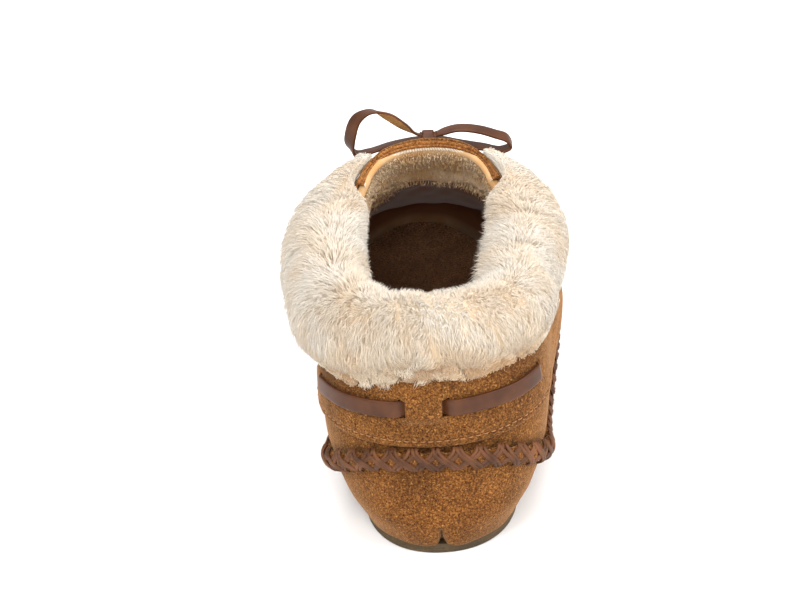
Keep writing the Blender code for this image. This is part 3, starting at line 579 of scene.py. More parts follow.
# height as a share of the instep, turn off the middle, distance off the suede
tailRows = ((0.885, 2.6, 0.0032), (0.83, 3.6, 0.0022), (0.76, 4.8, 0.0019), (0.69, 5.6, 0.0019),
            (0.63, 5.9, 0.0019))

knotHeight = shoe["instep"] - lace["frontDrop"]
knotUp = outward(knotHeight, 180.0)
knotAhead = np.cross(knotUp, (1.0, 0, 0))
knotCentre = (skin(knotHeight, 180.0, shoe["gap"] + lace["solidThickness"] + lace["knotRaise"])
              + knotUp * lace["knot"][2] / 2 + np.array((0, 0, shoe["gap"])))


# Flat strip with the grain side and the flesh side in their own finishes
def makeStrip(name, path, ups, nodes, fleshBelow, edgeTaper=None, fleshPart=1.0):
    section = stripSection(lace["width"], lace["thickness"])
    points, faceSets = tubes(path[None], ups[None], section, edgeTaper)
    around, lengths = len(section), len(path) - 1
    side = section[:, 1] + np.roll(section[:, 1], -1)
    fleshSides = (side < 0 if fleshBelow else side > 0) & (np.abs(side) > lace["thickness"] * 0.8)
    quadSide = np.tile(fleshSides, lengths).astype(int)
    quadSide[int(fleshPart * lengths) * around:] = 0
    return makePiece(name, points, faceSets, (leatherLace, leatherFlesh), nodes,
                     faceFinish=np.concatenate([quadSide, np.zeros(2, int)]), sharp=lace["sharp"])


def knotRing(angles, deep, high):
    return knotAhead[None] * np.cos(angles)[:, None] * deep + knotUp[None] * np.sin(angles)[:, None] * high


# The knot: one turn of the lace, pinched narrow, over the folded runs inside it
angles = np.linspace(0, 2 * math.pi, 40, endpoint=False)
knotWide, knotDeep, knotHigh = [size / 2 for size in lace["knot"]]
ringPath = knotCentre + knotRing(angles, knotDeep - lace["wrapSunk"], knotHigh - lace["wrapSunk"])
pinched = 1 - 0.16 * np.cos(angles * 2 + 0.5) ** 2
wrapSection = stripSection(lace["wrap"], lace["thickness"])
wrapPoints, wrapFaces = ringTube(ringPath, unit(ringPath - knotCentre), wrapSection,
                                 (pinched, np.ones(len(angles))))
coreRows = []
for share in np.linspace(-1, 1, 15):
    pinch = 0.58 + 0.22 * share**2
    coreRows.append(knotCentre + np.array((share * knotWide, 0, 0))
                    + knotRing(angles[::2], knotDeep * pinch, knotHigh * pinch))
coreFaces = gridFaces(15, 20) + len(wrapPoints)
caps = np.stack([np.arange(20)[::-1], np.arange(20) + 280]) + len(wrapPoints)
knot = makePiece("bowKnot", np.concatenate([wrapPoints, *coreRows]),
                 [wrapFaces[0], coreFaces[:, ::-1], caps[:, ::-1]], (leatherKnot,), ("bow_knot",),
                 sharp=60)

for name, route, fleshPart, node in (("bowLoopLeft", loopLeft, 0.45, "bow_loop_left"),
                                     ("bowLoopRight", loopRight, 0.0, "bow_loop_right")):
    side = math.copysign(lace["inKnot"], route[0][0])
    first, last = (side, 0.0004, 0.0005) + route[0][3:], (side, 0.0004, -0.0008) + route[-1][3:]
    rows = np.array([tuple(knotCentre + np.array(row[:3])) + row[3:] for row in (first, *route, last)])
    path = smoothPath(rows, lace["step"])
    place = path[:, :3]
    ups = unit(np.cross(np.gradient(place, axis=0), path[:, 3:]))
    fromEnd = np.minimum(np.arange(len(place)), np.arange(len(place))[::-1]) * lace["step"]
    widening = 0.6 + 0.4 * smoothStep(fromEnd, 0, lace["taper"])
    piece = makeStrip(name, place, ups, (node,), False, widening[None], fleshPart)

for name, side, node in (("bowTailRight", 1, "bow_tail_right"), ("bowTailLeft", -1, "bow_tail_left")):
    rows = np.array([tuple(skin(row[0] * shoe["instep"], 180 - side * row[1], row[2])) + (1.0, 0, 0)
                     for row in tailRows])
    path = smoothPath(rows, lace["step"])
    place = path[:, :3]
    ups = unit(np.cross(path[:, 3:], np.gradient(place, axis=0)))
    piece = makeStrip(name, place, ups, (node,), True)

turns = np.linspace(lace["frontEnd"], 360 - lace["frontEnd"], 91)
heights = collar(turns) - lace["frontDrop"]
out = np.full(len(turns), shoe["gap"] + lace["solidThickness"] / 2 + lace["frontRaise"])
makeStrip("laceFront", skin(heights, turns, out), outward(heights, turns), ("lace_front",), True)
print("bow and front lace made")

# Fur cuff
fur = {
    "out": 0.011, "in": 0.015, "rise": 0.016, "hang": 0.022, "tuck": 0.008, "belly": 0.42, "end": 162.0,
    "hairCount": 82000, "fringeCount": 9000, "radius": 0.00015, "rootShare": 0.66, "baseShare": 0.79,
    "hangBack": 0.0030,       # the fur hangs lower over the heel band
    "outBack": 0.0017,        # and stands off it
    "back": (12, 38, 30, 62), # turns over which that fades, right and left
    "lowShare": (0.55, 0.85), # depth left at the lower edge, and u where it is whole
    "lock": 0.0075,           # a lock of wool across
    "lockU": 0.42,            # and down, in u
    "clump": 0.42,            # how far the hairs of a lock draw together
    "fringeRadius": 0.00013,
}
# turn, hang, rise, out, into, tuck, lip
furRows = (
    (0, 0.50, 0.85, 0.62, 1.00, 1.00, 1.0), (40, 0.72, 0.95, 0.80, 1.00, 1.00, 1.0),
    (75, 1.00, 1.10, 0.95, 1.00, 0.70, 1.0), (95, 1.00, 1.15, 1.00, 0.90, 0.20, 1.0),
    (108, 1.00, 1.05, 1.02, 0.85, -0.10, 1.0), (125, 1.00, 0.95, 1.05, 0.75, -0.10, 1.0),
    (140, 0.95, 0.60, 1.10, 0.45, -0.10, 0.8), (149, 0.90, 0.36, 1.10, 0.02, -0.10, 0.0),
    (162, 0.62, 0.30, 0.80, 0.00, -0.10, 0.0),
)
furSides = {1: (1.0, 0.60), 3: (1.05, 0.60), 4: (0.78, 1.05)}     # left and right share of a column


def towardsLeft(turn):
    return np.clip(-np.sin(np.radians(turn)), 0, 1)


def furValue(column, turn):
    leftShare, rightShare = furSides.get(column, (1.0, 1.0))
    side = np.sin(np.radians(turn))
    uneven = 1 + (rightShare - 1) * np.maximum(side, 0) ** 2 + (leftShare - 1) * np.minimum(side, 0) ** 2
    return byTurn(furRows, turn, column) * uneven


def furLow(turn):
    return collar(turn) - fur["hang"] * furValue(1, turn)


# Section of the fur at each turn: surface points and what they grow from, by u from 0 at the lower
# edge outside, over 2 at the crest, to 4 at the edge inside
def furField(turn, u):
    top, low = collar(turn), furLow(turn)
    edge, out = surface(top, turn), outwardLevel(top, turn)
    thick, lip = wall(top, turn), furValue(6, turn)
    rightFull, rightGone, leftFull, leftGone = fur["back"]
    atBack = 1 - smoothStep(fold(turn), np.where(turn > 0, rightFull, leftFull),
                            np.where(turn > 0, rightGone, leftGone))
    start = skin(low - fur["hangBack"] * atBack, turn, shoe["softGap"] + fur["outBack"] * atBack)
    tuck = fur["tuck"] * furValue(5, turn)
    end = skin(top - np.maximum(tuck, 0), turn, -(thick + shoe["softGap"]) * lip)
    edgeZ, startZ = edge[..., 2], start[..., 2]
    endZ = edgeZ - tuck + shoe["softGap"]
    rStart, rEnd = np.sum((start - edge) * out, -1), np.sum((end - edge) * out, -1)
    crestR, crestZ = -thick / 2 * lip + 0.001 * (1 - lip), edgeZ + fur["rise"] * furValue(2, turn)
    wideR = rStart * 0.55 + fur["out"] * furValue(3, turn)
    wideZ = startZ + fur["belly"] * (crestZ - startZ)
    deepR = rEnd - fur["in"] * furValue(4, turn)
    deepZ = endZ + fur["belly"] * (crestZ - endZ)
    part = np.clip(u.astype(int), 0, 3)
    a = np.radians(90 * np.choose(part, [u, 2 - u, u - 2, 4 - u]))
    s, c = np.sin(a), np.cos(a)
    r = np.choose(part, [rStart + (wideR - rStart) * s, crestR + (wideR - crestR) * s,
                         crestR + (deepR - crestR) * s, rEnd + (deepR - rEnd) * s])
    z = np.choose(part, [wideZ - (wideZ - startZ) * c, wideZ + (crestZ - wideZ) * c,
                         deepZ + (crestZ - deepZ) * c, deepZ - (deepZ - endZ) * c])
    f = u - part
    hide = edgeZ + 0.0012 + 0 * f
    anchorR = np.choose(part, [rStart * (1 - f), -thick * lip / 2 * f, -thick * lip * (1 + f) / 2,
                               -thick * lip + (rEnd + thick * lip) * f])
    anchorZ = np.choose(part, [startZ + (edgeZ - startZ) * f, hide, hide, edgeZ + (endZ - edgeZ) * f])
    size = 1 - 0.5 * smoothStep(fold(turn), 151, fur["end"])
    place, anchor = edge + out * r[..., None], edge + out * anchorR[..., None]
    place[..., 2], anchor[..., 2] = z, anchorZ
    return anchor + (place - anchor) * size[..., None], anchor


def furLowShare(u):                   # the fur thins out towards its lower edge outside
    least, whole = fur["lowShare"]
    return least + (1 - least) * smoothStep(u, 0.0, whole)


baseTurns = np.linspace(-fur["end"], fur["end"], 161)
baseU = np.linspace(0.04, 3.96, 29)
gridTurn, gridU = np.meshgrid(baseTurns, baseU, indexing="ij")
place, anchor = furField(gridTurn, gridU)
lump = 1 + 0.10 * relief(gridTurn, gridU * 0.02, 5, cell=0.012)
lump = lump * (1 - 0.20 * smoothStep(gridU, 2.1, 3.0) * towardsLeft(gridTurn))
skinPoints = anchor + (place - anchor) * (fur["baseShare"] * furLowShare(gridU) * lump)[..., None]
under = anchor + (place - anchor) * 0.03
rows = np.concatenate([skinPoints, under[:, ::-1]], axis=1)
ringSize = rows.shape[1]
caps = np.stack([np.arange(ringSize)[::-1], np.arange(ringSize) + (len(rows) - 1) * ringSize])
makePiece("furBase", rows, [gridFaces(len(rows), ringSize), caps], (furBase,), ("fur_cuff",),
          values={"along": np.full(rows.shape[:2], 0.5), "tone": np.full(rows.shape[:2], 0.5)})


# Hairs grow from the base to the fur's surface, combed down outside and into the shoe inside
def growHairs(count, uLow, uHigh, spill, radius, extra):
    fine = np.linspace(-fur["end"] + 1, fur["end"] - 1, 1600)
    steps = alongRun(furField(fine, np.full(len(fine), 1.6))[0])
    turn = np.interp(rng.uniform(0, steps[-1], count), steps, fine)
    run = np.interp(turn, fine, steps)
    u = rng.uniform(uLow, uHigh, count)
    u = np.where(u > 3.2, 3.2 + (u - 3.2) * rng.uniform(0, 1, count), u)

    # the lock that each hair belongs to, with its own sway, height, reach, lift and tone
    cellAlong = run / fur["lock"] + 0.35 * np.sin(u * 5 + run * 300)
    cellAcross = u / fur["lockU"] + 0.35 * np.sin(run * 420 + u)
    i, j = np.floor(cellAlong).astype(int) % 211, np.floor(cellAcross).astype(int) % 53
    lockRandom = np.random.default_rng(23).uniform(-1, 1, (211, 53, 5))[i, j]
    lockTurn = np.interp((np.floor(cellAlong) + 0.5) * fur["lock"], steps, fine)
    lockU = (np.floor(cellAcross) + 0.5) * fur["lockU"]

    # where its tip is combed to
    comb = np.interp(u, (0, 1.0, 1.9, 2.3, 3.0, 4.0), (-0.42, -0.40, -0.16, 0.14, 0.34, 0.40))
    degreesPerMetre = np.interp(turn, fine, 1.0 / np.maximum(np.gradient(steps, fine), 1e-6))
    sway = rng.normal(0, 0.0013, count) + lockRandom[:, 0] * 0.0022
    targetTurn = turn + sway * degreesPerMetre
    targetU = u + comb + lockRandom[:, 1] * 0.10 + rng.normal(0, 0.05, count)
    clump = fur["clump"] * np.interp(u, (0, 0.9, 1.5, 4.0), (1.5, 1.3, 0.35, 0.4))
    clump = clump * (1 - 0.5 * smoothStep(fold(turn), 45, 90)) * rng.uniform(0.5, 1.0, count)
    targetTurn = targetTurn + (lockTurn + sway * degreesPerMetre - targetTurn) * clump
    targetTurn = np.clip(targetTurn, -fur["end"], fur["end"])
    targetU = targetU + (lockU + comb - targetU) * clump * 0.6
    pastEdges = np.clip(-targetU, 0, 1) + np.clip(targetU - 3.98, 0, 1)

    # how far it reaches there
    place, anchor = furField(turn, u)
    tip, tipAnchor = furField(targetTurn, np.clip(targetU, 0.02, 3.98))
    towardsBack = np.clip(np.cos(np.radians(turn)), 0, 1)
    reach = rng.uniform(0.88, 1.04, count) * (1 + 0.05 * lockRandom[:, 2]) + extra
    reach = reach * (1 - smoothStep(targetU, 2.1, 3.0) * (0.26 * towardsLeft(turn) + 0.12 * towardsBack))
    reach = reach * furLowShare(np.clip(targetU, 0, 4)) * (1 + 0.16 * towardsLeft(targetTurn))
    normal = unit(place - anchor)
    roots = anchor + (place - anchor) * fur["rootShare"]
    tips = tipAnchor + (tip - tipAnchor) * reach[:, None]
    tips[:, 2] -= pastEdges * spill * (0.35 + 1.0 * (1 - smoothStep(fold(turn), 22, 60)))
    tips = tips + normal * (lockRandom[:, 3] * 0.0006)[:, None]
    length = np.linalg.norm(tips - roots, axis=1)
    middles = roots + (tips - roots) * 0.5 + normal * (length * rng.uniform(0.10, 0.24, count))[:, None]
    middles = middles + rng.normal(0, 0.00022, (count, 3))

    # darker low at the back, where the cuff shades itself
    lowBack = (1 - smoothStep(u, 0.55, 1.45)) * (1 - smoothStep(fold(turn), 38, 80))
    tone = 0.90 - 0.66 * lowBack + (0.07 + 0.20 * lowBack) * lockRandom[:, 4] + rng.normal(0, 0.05, count)
    tone = np.clip(tone, 0, 1)
    order = np.argsort(turn)
    thickness = radius * rng.uniform(0.75, 1.25, count)
    return roots[order], middles[order], tips[order], thickness[order], tone[order]


def makeHairs(names, grown, finish, sock=None):
    roots, middles, tips, thickness, tone = grown
    for name, part in zip(names, np.array_split(np.arange(len(roots)), len(names))):
        points, faceSets = hairs(roots[part], middles[part], tips[part], thickness[part])
        along = np.tile((0.0, 0.45, 0.45, 0.45, 1.0), len(part))
        ownBrownAndShade = np.zeros(len(along)) if sock is None else np.repeat(sock[part], 5)
        makePiece(name, points, faceSets, (finish,),
                  values={"along": along, "tone": np.repeat(tone[part], 5), "sock": ownBrownAndShade})


fringeHairs = fur["fringeCount"] // 3 * 2
makeHairs(("furFrontLeft", "furBackLeft", "furBackRight", "furFrontRight"),
          growHairs(fur["hairCount"], 0.06, 3.9, 0.006, fur["radius"], 0.0), furWool)
makeHairs(("furFringeOutside",), growHairs(fringeHairs, 0.05, 0.9, 0.0075, fur["fringeRadius"], 0.04),
          furWool)
makeHairs(("furFringeInside",), growHairs(fringeHairs, 2.5, 3.9, 0.0065, fur["fringeRadius"], 0.10),
          furWool)
print("fur made")

# Upper: brushed suede outside, fleece inside. A pair is a size and the width that it fades over.
upper = {
    "stations": 520, "rows": 84, "leather": 0.0016, "turnIn": 0.0022,
    "seamTurn": 0.6, "seamHeight": 0.0085, "seamDepth": 0.0016, "seamWidth": 0.0008,
    "seamFoot": (0.0014, 0.0013), "footHeight": 0.004,
    "lobe": 0.0010, "lobePlace": 0.0060, "lobeWidth": 0.0050, "lobeHeight": (0.0035, 0.0045),
    "overhang": (0.0015, 0.0045), "pucker": 0.0005, "puckerStart": 0.004, "puckerFade": 0.006,
    "braidDent": (0.0005, 0.0042), "hide": 0.00022, "hideCell": 0.016,
    "foldWidth": 0.0035, "ridgeAside": 0.008, "ridgeWidth": 0.004,
    "eyelet": 0.0024, "eyeletWidth": 0.0016, "eyeletHeight": 0.0034,
}
braid = {
    "width": 0.0080, "height": 0.0036, "pitch": 0.0076, "cord": 0.0018, "cordThickness": 0.0010,
    "sunk": 0.0003,           # the braid's middle below its own half height
    "cordAside": 0.0008,      # the two cords of a crossing from its middle
    "cordReach": (0.47, 0.57),    # how far a cord runs, of the pitch, and crosses, of the width
    "lifts": ((1, 0.00062), (-1, 0.00018)),    # the way a cord leans, and how far it lies above the pads
}
band = {
    "low": 0.043, "rise": (0.0030, 0.0060), "thickness": 0.0017, "shift": -4.0, "end": 73.0, "corner": 0.009,
    "bridge": 0.0124, "bridgeFoot": 0.0035, "bridgeFade": 3.2, "slitLength": 0.0052, "slitRoom": 0.0005,
    "underFur": 0.0004,       # the upper edge below the fur's line
    "laceRoom": 0.0015,       # least suede left above and below the lace
    "holeSpan": 1.9,          # half of an eyelet, in degrees
    "stitchIn": 0.0024, "stitch": 0.0021, "stitchGap": 0.0008, "stitchRadius": 0.00022,
    "groove": (0.00035, 0.0005), "edgeThin": (0.35, 0.0004),
}
laceRows = ((0, 0.49), (38, 0.60), (62, 0.71))


def laceHeight(turn):                 # turn from the band's middle
    return band["low"] + (furLow(turn + band["shift"]) - band["low"]) * byTurn(laceRows, turn)


def bandRise(turn):                   # the band's lower edge rises towards its ends
    return np.where(turn < 0, *band["rise"]) * np.clip(np.abs(turn / band["end"]), 0, 1) ** 1.8


braidTurns = np.linspace(0, 360, 2881)
braidRun = alongRun(surface(braidHeight(braidTurns), braidTurns))
crossings = int(round(braidRun[-1] / braid["pitch"]))
pitch = braidRun[-1] / crossings

# stations at even steps, with fine ones across the heel's seam
even = evenTurns(0.2 * shoe["instep"], upper["stations"] + 1)[:-1]
heelRadius = float(contourRadius(0.004, np.array([0.0]))[0])
close = upper["seamTurn"] + np.degrees(np.arange(-11, 12) * 0.00028 / heelRadius)
stations = np.unique(np.round(np.concatenate([even, close % 360]), 4))


# Soft folds: turn, height, length up or along, depth, lean
foldRows = (
    (150, 0.066, 0.030, -0.0009, 0.5), (208, 0.062, 0.032, -0.0010, -0.5), (180, 0.060, 0.026, -0.0006, 0.0),
    (118, 0.052, 0.026, -0.0007, 0.9), (244, 0.050, 0.028, -0.0008, -0.8), (95, 0.040, 0.020, -0.0004, 0.3),
    (266, 0.042, 0.022, -0.0004, -0.3),
)


# How far the suede stands off the form, and where each point lies from the seam and the braid
def suedeRelief(height, turn):
    radius = np.linalg.norm(surface(height, turn)[..., :2], axis=-1)
    aside = np.radians(signedTurn(turn - upper["seamTurn"])) * radius
    low = 1 - smoothStep(height, upper["seamHeight"] * 0.55, upper["seamHeight"] * 1.15)
    off = -upper["seamDepth"] * bell(aside, upper["seamWidth"]) * low
    overhang, overhangHeight = upper["overhang"]
    off = off + overhang * bell(height, overhangHeight) * (1 - 0.9 * bell(aside, 0.002))
    lobeMiddle, lobeFade = upper["lobeHeight"]
    lobe = bell(np.abs(aside) - upper["lobePlace"], upper["lobeWidth"])
    off = off + upper["lobe"] * lobe * bell(height - lobeMiddle, lobeFade)
    run = np.interp(turn % 360, braidTurns, braidRun)
    toBraid = braidHeight(turn) - height
    toe = smoothStep(fold(turn), 112, 150)
    fade = (np.exp(-np.maximum(toBraid - upper["puckerStart"], 0) / upper["puckerFade"])
            * smoothStep(toBraid, 0.0, upper["puckerStart"]))
    off = off + upper["pucker"] * (0.15 + 1.6 * toe) * np.cos(2 * math.pi * run / pitch) * fade
    dent, dentWidth = upper["braidDent"]
    off = off - dent * bell(toBraid, dentWidth)
    for foldTurn, foldHeight, length, depth, lean in foldRows:
        away = np.radians(signedTurn(turn - foldTurn)) * radius
        up = height - foldHeight
        down = up * math.cos(lean) + away * math.sin(lean)
        across = away * math.cos(lean) - up * math.sin(lean)
        ridge = bell(np.abs(across) - upper["ridgeAside"], upper["ridgeWidth"])
        off = off + depth * bell(down, length) * (bell(across, upper["foldWidth"]) - 0.5 * ridge)
    off = off + upper["hide"] * relief(turn, height, 3, cell=upper["hideCell"])
    for side in (-1, 1):
        away = np.radians(signedTurn(turn - side * lace["holeTurn"] - band["shift"])) * radius
        up = height - laceHeight(side * lace["holeTurn"])
        off = off - upper["eyelet"] * bell(away, upper["eyeletWidth"]) * bell(up, upper["eyeletHeight"])
    return off, aside, low, run, toBraid


edge = collar(stations) + rimRise(stations)
shares = np.concatenate([np.linspace(0, 0.14, 16)[:-1], np.linspace(0.14, 1, upper["rows"] - 15)])
heightGrid = np.maximum(edge[None] * shares[:, None], 0.0003)
turnGrid = np.broadcast_to(stations, heightGrid.shape)
off, aside, low, run, toBraid = suedeRelief(heightGrid, turnGrid)
faceRows = skin(heightGrid, turnGrid, off)
seamLift, seamLiftWidth = upper["seamFoot"]
nearFoot = np.clip(1 - heightGrid / upper["footHeight"], 0, 1)
faceRows[..., 2] += seamLift * bell(aside, seamLiftWidth) * nearFoot
lip = surface(0, stations) - outwardLevel(0, stations) * shoe["flange"]
lip[:, 2] = shoe["soleThick"] + lift(lip[:, 1]) + shoe["gap"]
roll = surface(0, stations) - outwardLevel(0, stations) * upper["turnIn"]
roll[:, 2] = shoe["soleThick"] + lift(roll[:, 1]) + shoe["gap"] * 0.6
rim = faceRows[-1] - outward(edge, stations) * (upper["leather"] / 2)
rim[:, 2] += 0.0005
innerShares = np.linspace(1, 0.02, 12)[:, None]
innerRows = skin(edge[None] * innerShares, np.broadcast_to(stations, (12, len(stations))),
                 np.full((12, len(stations)), -upper["leather"]))
foot = surface(upper["leather"], stations) - outwardLevel(upper["leather"], stations) * upper["turnIn"]
inLip = lip + np.array((0, 0, 0.0014))
rows = np.concatenate([lip[None], roll[None], faceRows, rim[None], innerRows, foot[None], inLip[None]])

# shade in the seam, round the braid's holes, at the sole, under the band's edge and under the fur
hole = bell(np.abs(toBraid) - 0.0048, 0.0013) * np.clip(np.cos(2 * math.pi * run / pitch), 0, 1) ** 2
shade = np.clip(0.75 * bell(aside, 0.0007) * low + 0.35 * hole + 0.22 * bell(toBraid, 0.0045)
                + 0.25 * (1 - smoothStep(heightGrid, 0.0, 0.0022)), 0, 0.9)
bandTurn = signedTurn(turnGrid - band["shift"])
toBand = band["low"] + bandRise(bandTurn) - heightGrid
underBand = np.exp(-np.maximum(toBand, 0) / 0.0016) * (np.abs(bandTurn) < band["end"])
underFur = np.exp(-np.maximum(furLow(turnGrid) - heightGrid, 0) / 0.005)
shadeRows = np.zeros(rows.shape[:2])
shadeRows[2:2 + len(shade)] = np.clip(shade + 0.35 * underBand + 0.25 * underFur, 0, 0.9)
makePiece("suedeUpper", rows, [gridFaces(len(rows), len(stations), closeRows=True)], (suedeUpper,),
          ("upper",), values={"shade": shadeRows})

lining = {
    "stations": 300, "rows": 52, "start": 0.0019, "pileCount": 8500, "pile": 0.0030, "pileRadius": 0.00017,
    "pileDepth": 0.058,       # how far down the pile is seen
    "sock": 0.0165,           # depth of the pale fleece under the throat
    "sockSide": 0.045,        # and how much deeper it goes at the sides
}
# Fleece gathers under the throat in soft rolls: distance below the rim, size, width
liningRolls = ((0.0055, 0.0012, 0.0028), (0.0125, 0.0030, 0.0034), (0.022, 0.0016, 0.0040))


def liningThickness(height, turn):
    below = collar(turn) - height
    front = smoothStep(fold(turn), 100, 150)
    rolls = 0
    for place, size, width in liningRolls:
        wander = place + 0.0018 * np.sin(np.radians(turn) * 5 + place * 400)
        rolls = rolls + size * bell(below - wander, width)
    folds = 0.0012 * (1 - front) * np.sin(np.radians(turn) * 17 + 3 * np.sin(height * 90))
    folds = folds * smoothStep(below, 0.004, 0.02)
    soft = 0.0006 * relief(turn, height, 9, cell=0.009)
    return wall(height, turn) + smoothStep(below, 0.0, 0.008) * (front * rolls + folds + soft)


def brownAndShadeShare(turn, below):           # pale fleece under the throat and at the sides; further in, dark brown that is partly a dark lining and partly painted shade inside the toe box
    paleDepth = lining["sock"] + lining["sockSide"] * smoothStep(180 - fold(turn), 4, 30)
    paleDepth = paleDepth + 0.0016 * np.sin(np.radians(turn) * 23)
    return smoothStep(below, paleDepth - 0.0012, paleDepth + 0.0012)


liningTurns = evenTurns(0.5 * shoe["instep"], lining["stations"] + 1)[:-1]
edge = collar(liningTurns) + rimRise(liningTurns)
shares = np.linspace(1, 0, lining["rows"])[:, None] ** 1.1
heightGrid = shoe["innerLow"] + (edge - shoe["innerLow"]) * shares
turnGrid = np.broadcast_to(liningTurns, heightGrid.shape)
inner = skin(heightGrid, turnGrid, -liningThickness(heightGrid, turnGrid))
backShares = np.linspace(0.02, 1, 12)[:, None]
backRows = skin(edge * backShares, np.broadcast_to(liningTurns, (12, len(liningTurns))),
                np.full((12, len(liningTurns)), -lining["start"]))
rows = np.concatenate([inner, wallFoot(liningTurns)[None], backRows])
below = collar(turnGrid) - heightGrid
depth, tone, sock = np.zeros(rows.shape[:2]), np.full(rows.shape[:2], 0.35), np.zeros(rows.shape[:2])
# painted shade: the fleece is darker and tanner at the rim, palest a few millimetres below it, and darker
# again deeper in
depth[:len(inner)] = 0.42 + 0.45 * smoothStep(below, 0.0, 0.006) - 0.30 * smoothStep(below, 0.006, 0.05)
tone[:len(inner)] = 0.22 + 0.66 * smoothStep(below, 0.0, 0.008)
# sock: dark brown further in, partly a dark lining and partly painted shade inside the toe box
sock[:len(inner)] = brownAndShadeShare(turnGrid, below)
makePiece("fleeceLining", rows, [gridFaces(len(rows), len(liningTurns), closeRows=True)], (fleece,),
          values={"along": depth, "tone": tone, "sock": sock})

# Clipped pile, most of it where the fleece is seen under the throat
count = lining["pileCount"]
turn = np.where(rng.uniform(0, 1, count) < 0.72, rng.normal(180, 26, count), rng.uniform(0, 360, count))
top = collar(turn) + rimRise(turn)
height = top - 0.0004 - rng.uniform(0, 1, count) ** 1.2 * lining["pileDepth"]
roots = skin(height, turn, -liningThickness(height, turn))
normal = -outward(height, turn)
reach = lining["pile"] * rng.uniform(0.5, 1.0, count) * smoothStep(top - height, -0.002, 0.004)
lean = rng.normal(0, 0.55, (count, 3)) + np.array((0, 0, -0.35))
tips = roots + unit(normal * 0.9 + lean) * reach[:, None]
middles = roots + (tips - roots) * 0.5 + normal * (reach * 0.25)[:, None]
# no pile where the fleece turns dark brown, which is partly painted shade
brownAndShadeThere = brownAndShadeShare(turn, collar(turn) - height)
keep = (height > shoe["innerLow"]) & (brownAndShadeThere < 0.6)
tone = np.clip(rng.normal(0.8, 0.10, keep.sum()), 0, 1)
thickness = np.full(keep.sum(), lining["pileRadius"])
makeHairs(("fleecePile",), (roots[keep], middles[keep], tips[keep], thickness, tone), fleece,
          brownAndShadeThere[keep])
print("upper and lining made")

# Heel band with its bridge and slits
backRadius = float(np.linalg.norm(surface(float(laceHeight(0.0)), band["shift"])[:2]))
half = lace["width"] / 2 + band["slitRoom"]


def bandEdges(turn):
    radius = np.linalg.norm(surface(band["low"], turn + band["shift"])[..., :2], axis=-1)
    left = np.clip(1 - np.radians(band["end"] - np.abs(turn)) * radius / band["corner"], 0, 1)
    corner = band["corner"] * (1 - np.sqrt(1 - left**2))
    high = furLow(turn + band["shift"]) - band["underFur"]
    return band["low"] + bandRise(turn) + corner, high - 0.7 * corner


# columns of cells that end at the bridge, the slits and the eyelets
bridgeTurn = math.degrees(math.asin(band["bridge"] / 2 / backRadius))
slitTurn = math.degrees(math.asin((band["bridge"] / 2 + band["slitLength"] * 0.55) / backRadius))
rightMarks = [bridgeTurn, slitTurn, lace["holeTurn"] - band["holeSpan"], lace["holeTurn"] + band["holeSpan"],
              band["end"]]
marks = [-mark for mark in rightMarks[::-1]] + rightMarks
counts = (24, 6, 90, 6, 22, 6, 90, 6, 24)
between = zip(marks[:-1], marks[1:], counts)
bandTurns = np.concatenate([np.linspace(a, b, n, endpoint=False) for a, b, n in between] + [[band["end"]]])
lowEdge, highEdge = bandEdges(bandTurns)
room = half + band["laceRoom"]
middleHeight = np.clip(laceHeight(bandTurns), lowEdge + room, highEdge - room)
heights = []
for share in np.concatenate([np.linspace(0, 0.16, 7)[:-1], np.linspace(0.16, 1, 14)]):
    heights.append(lowEdge + (middleHeight - half - lowEdge) * share)
for share in np.linspace(-1, 1, 9)[1:-1]:
    heights.append(middleHeight + half * share)
for share in np.linspace(0, 1, 16):
    heights.append(middleHeight + half + (highEdge - middleHeight - half) * share)
heights = np.array(heights)
turnGrid = np.broadcast_to(bandTurns, heights.shape)

# the two faces: raised at the bridge, thinner at the cut edges, grooved along the stitches
fromLace = heights - middleHeight
toStitch = heights - lowEdge - band["stitchIn"]
onBridge = np.abs(turnGrid) <= bridgeTurn + 1e-6
raised = shoe["gap"] + lace["solidThickness"]
hump = 1 - smoothStep(np.abs(fromLace), half - 0.0004, half + band["bridgeFoot"])
nearBridge = 1 - smoothStep(np.abs(turnGrid), bridgeTurn, bridgeTurn + band["bridgeFade"])
beside = nearBridge * (np.abs(fromLace) > half - 1e-6)
inside = shoe["gap"] + raised * hump * np.where(onBridge, 1, beside)
edgeAway = np.maximum(np.minimum(heights - lowEdge, highEdge - heights), 0)
sideAway = np.radians(band["end"] - np.abs(turnGrid)) * backRadius
thinShare, thinWidth = band["edgeThin"]
thin = thinShare * np.exp(-np.minimum(edgeAway, sideAway) / thinWidth)
grooveDepth, grooveWidth = band["groove"]
wave = 0.00012 * relief(turnGrid, heights, 21, cell=0.012)
outside = inside + band["thickness"] * (1 - thin) - grooveDepth * bell(toStitch, grooveWidth) + wave
cellTurn = np.broadcast_to((bandTurns[:-1] + bandTurns[1:]) / 2, (heights.shape[0] - 1, len(bandTurns) - 1))
cellOff = (fromLace[:-1] + fromLace[1:]) / 2
cellOff = (cellOff[:, :-1] + cellOff[:, 1:]) / 2
slit = (np.abs(cellTurn) > bridgeTurn) & (np.abs(cellTurn) < slitTurn)
eyelet = np.abs(np.abs(cellTurn) - lace["holeTurn"] - 0.4) < band["holeSpan"] * 0.75
keep = ~((slit | eyelet) & (np.abs(cellOff) < half))


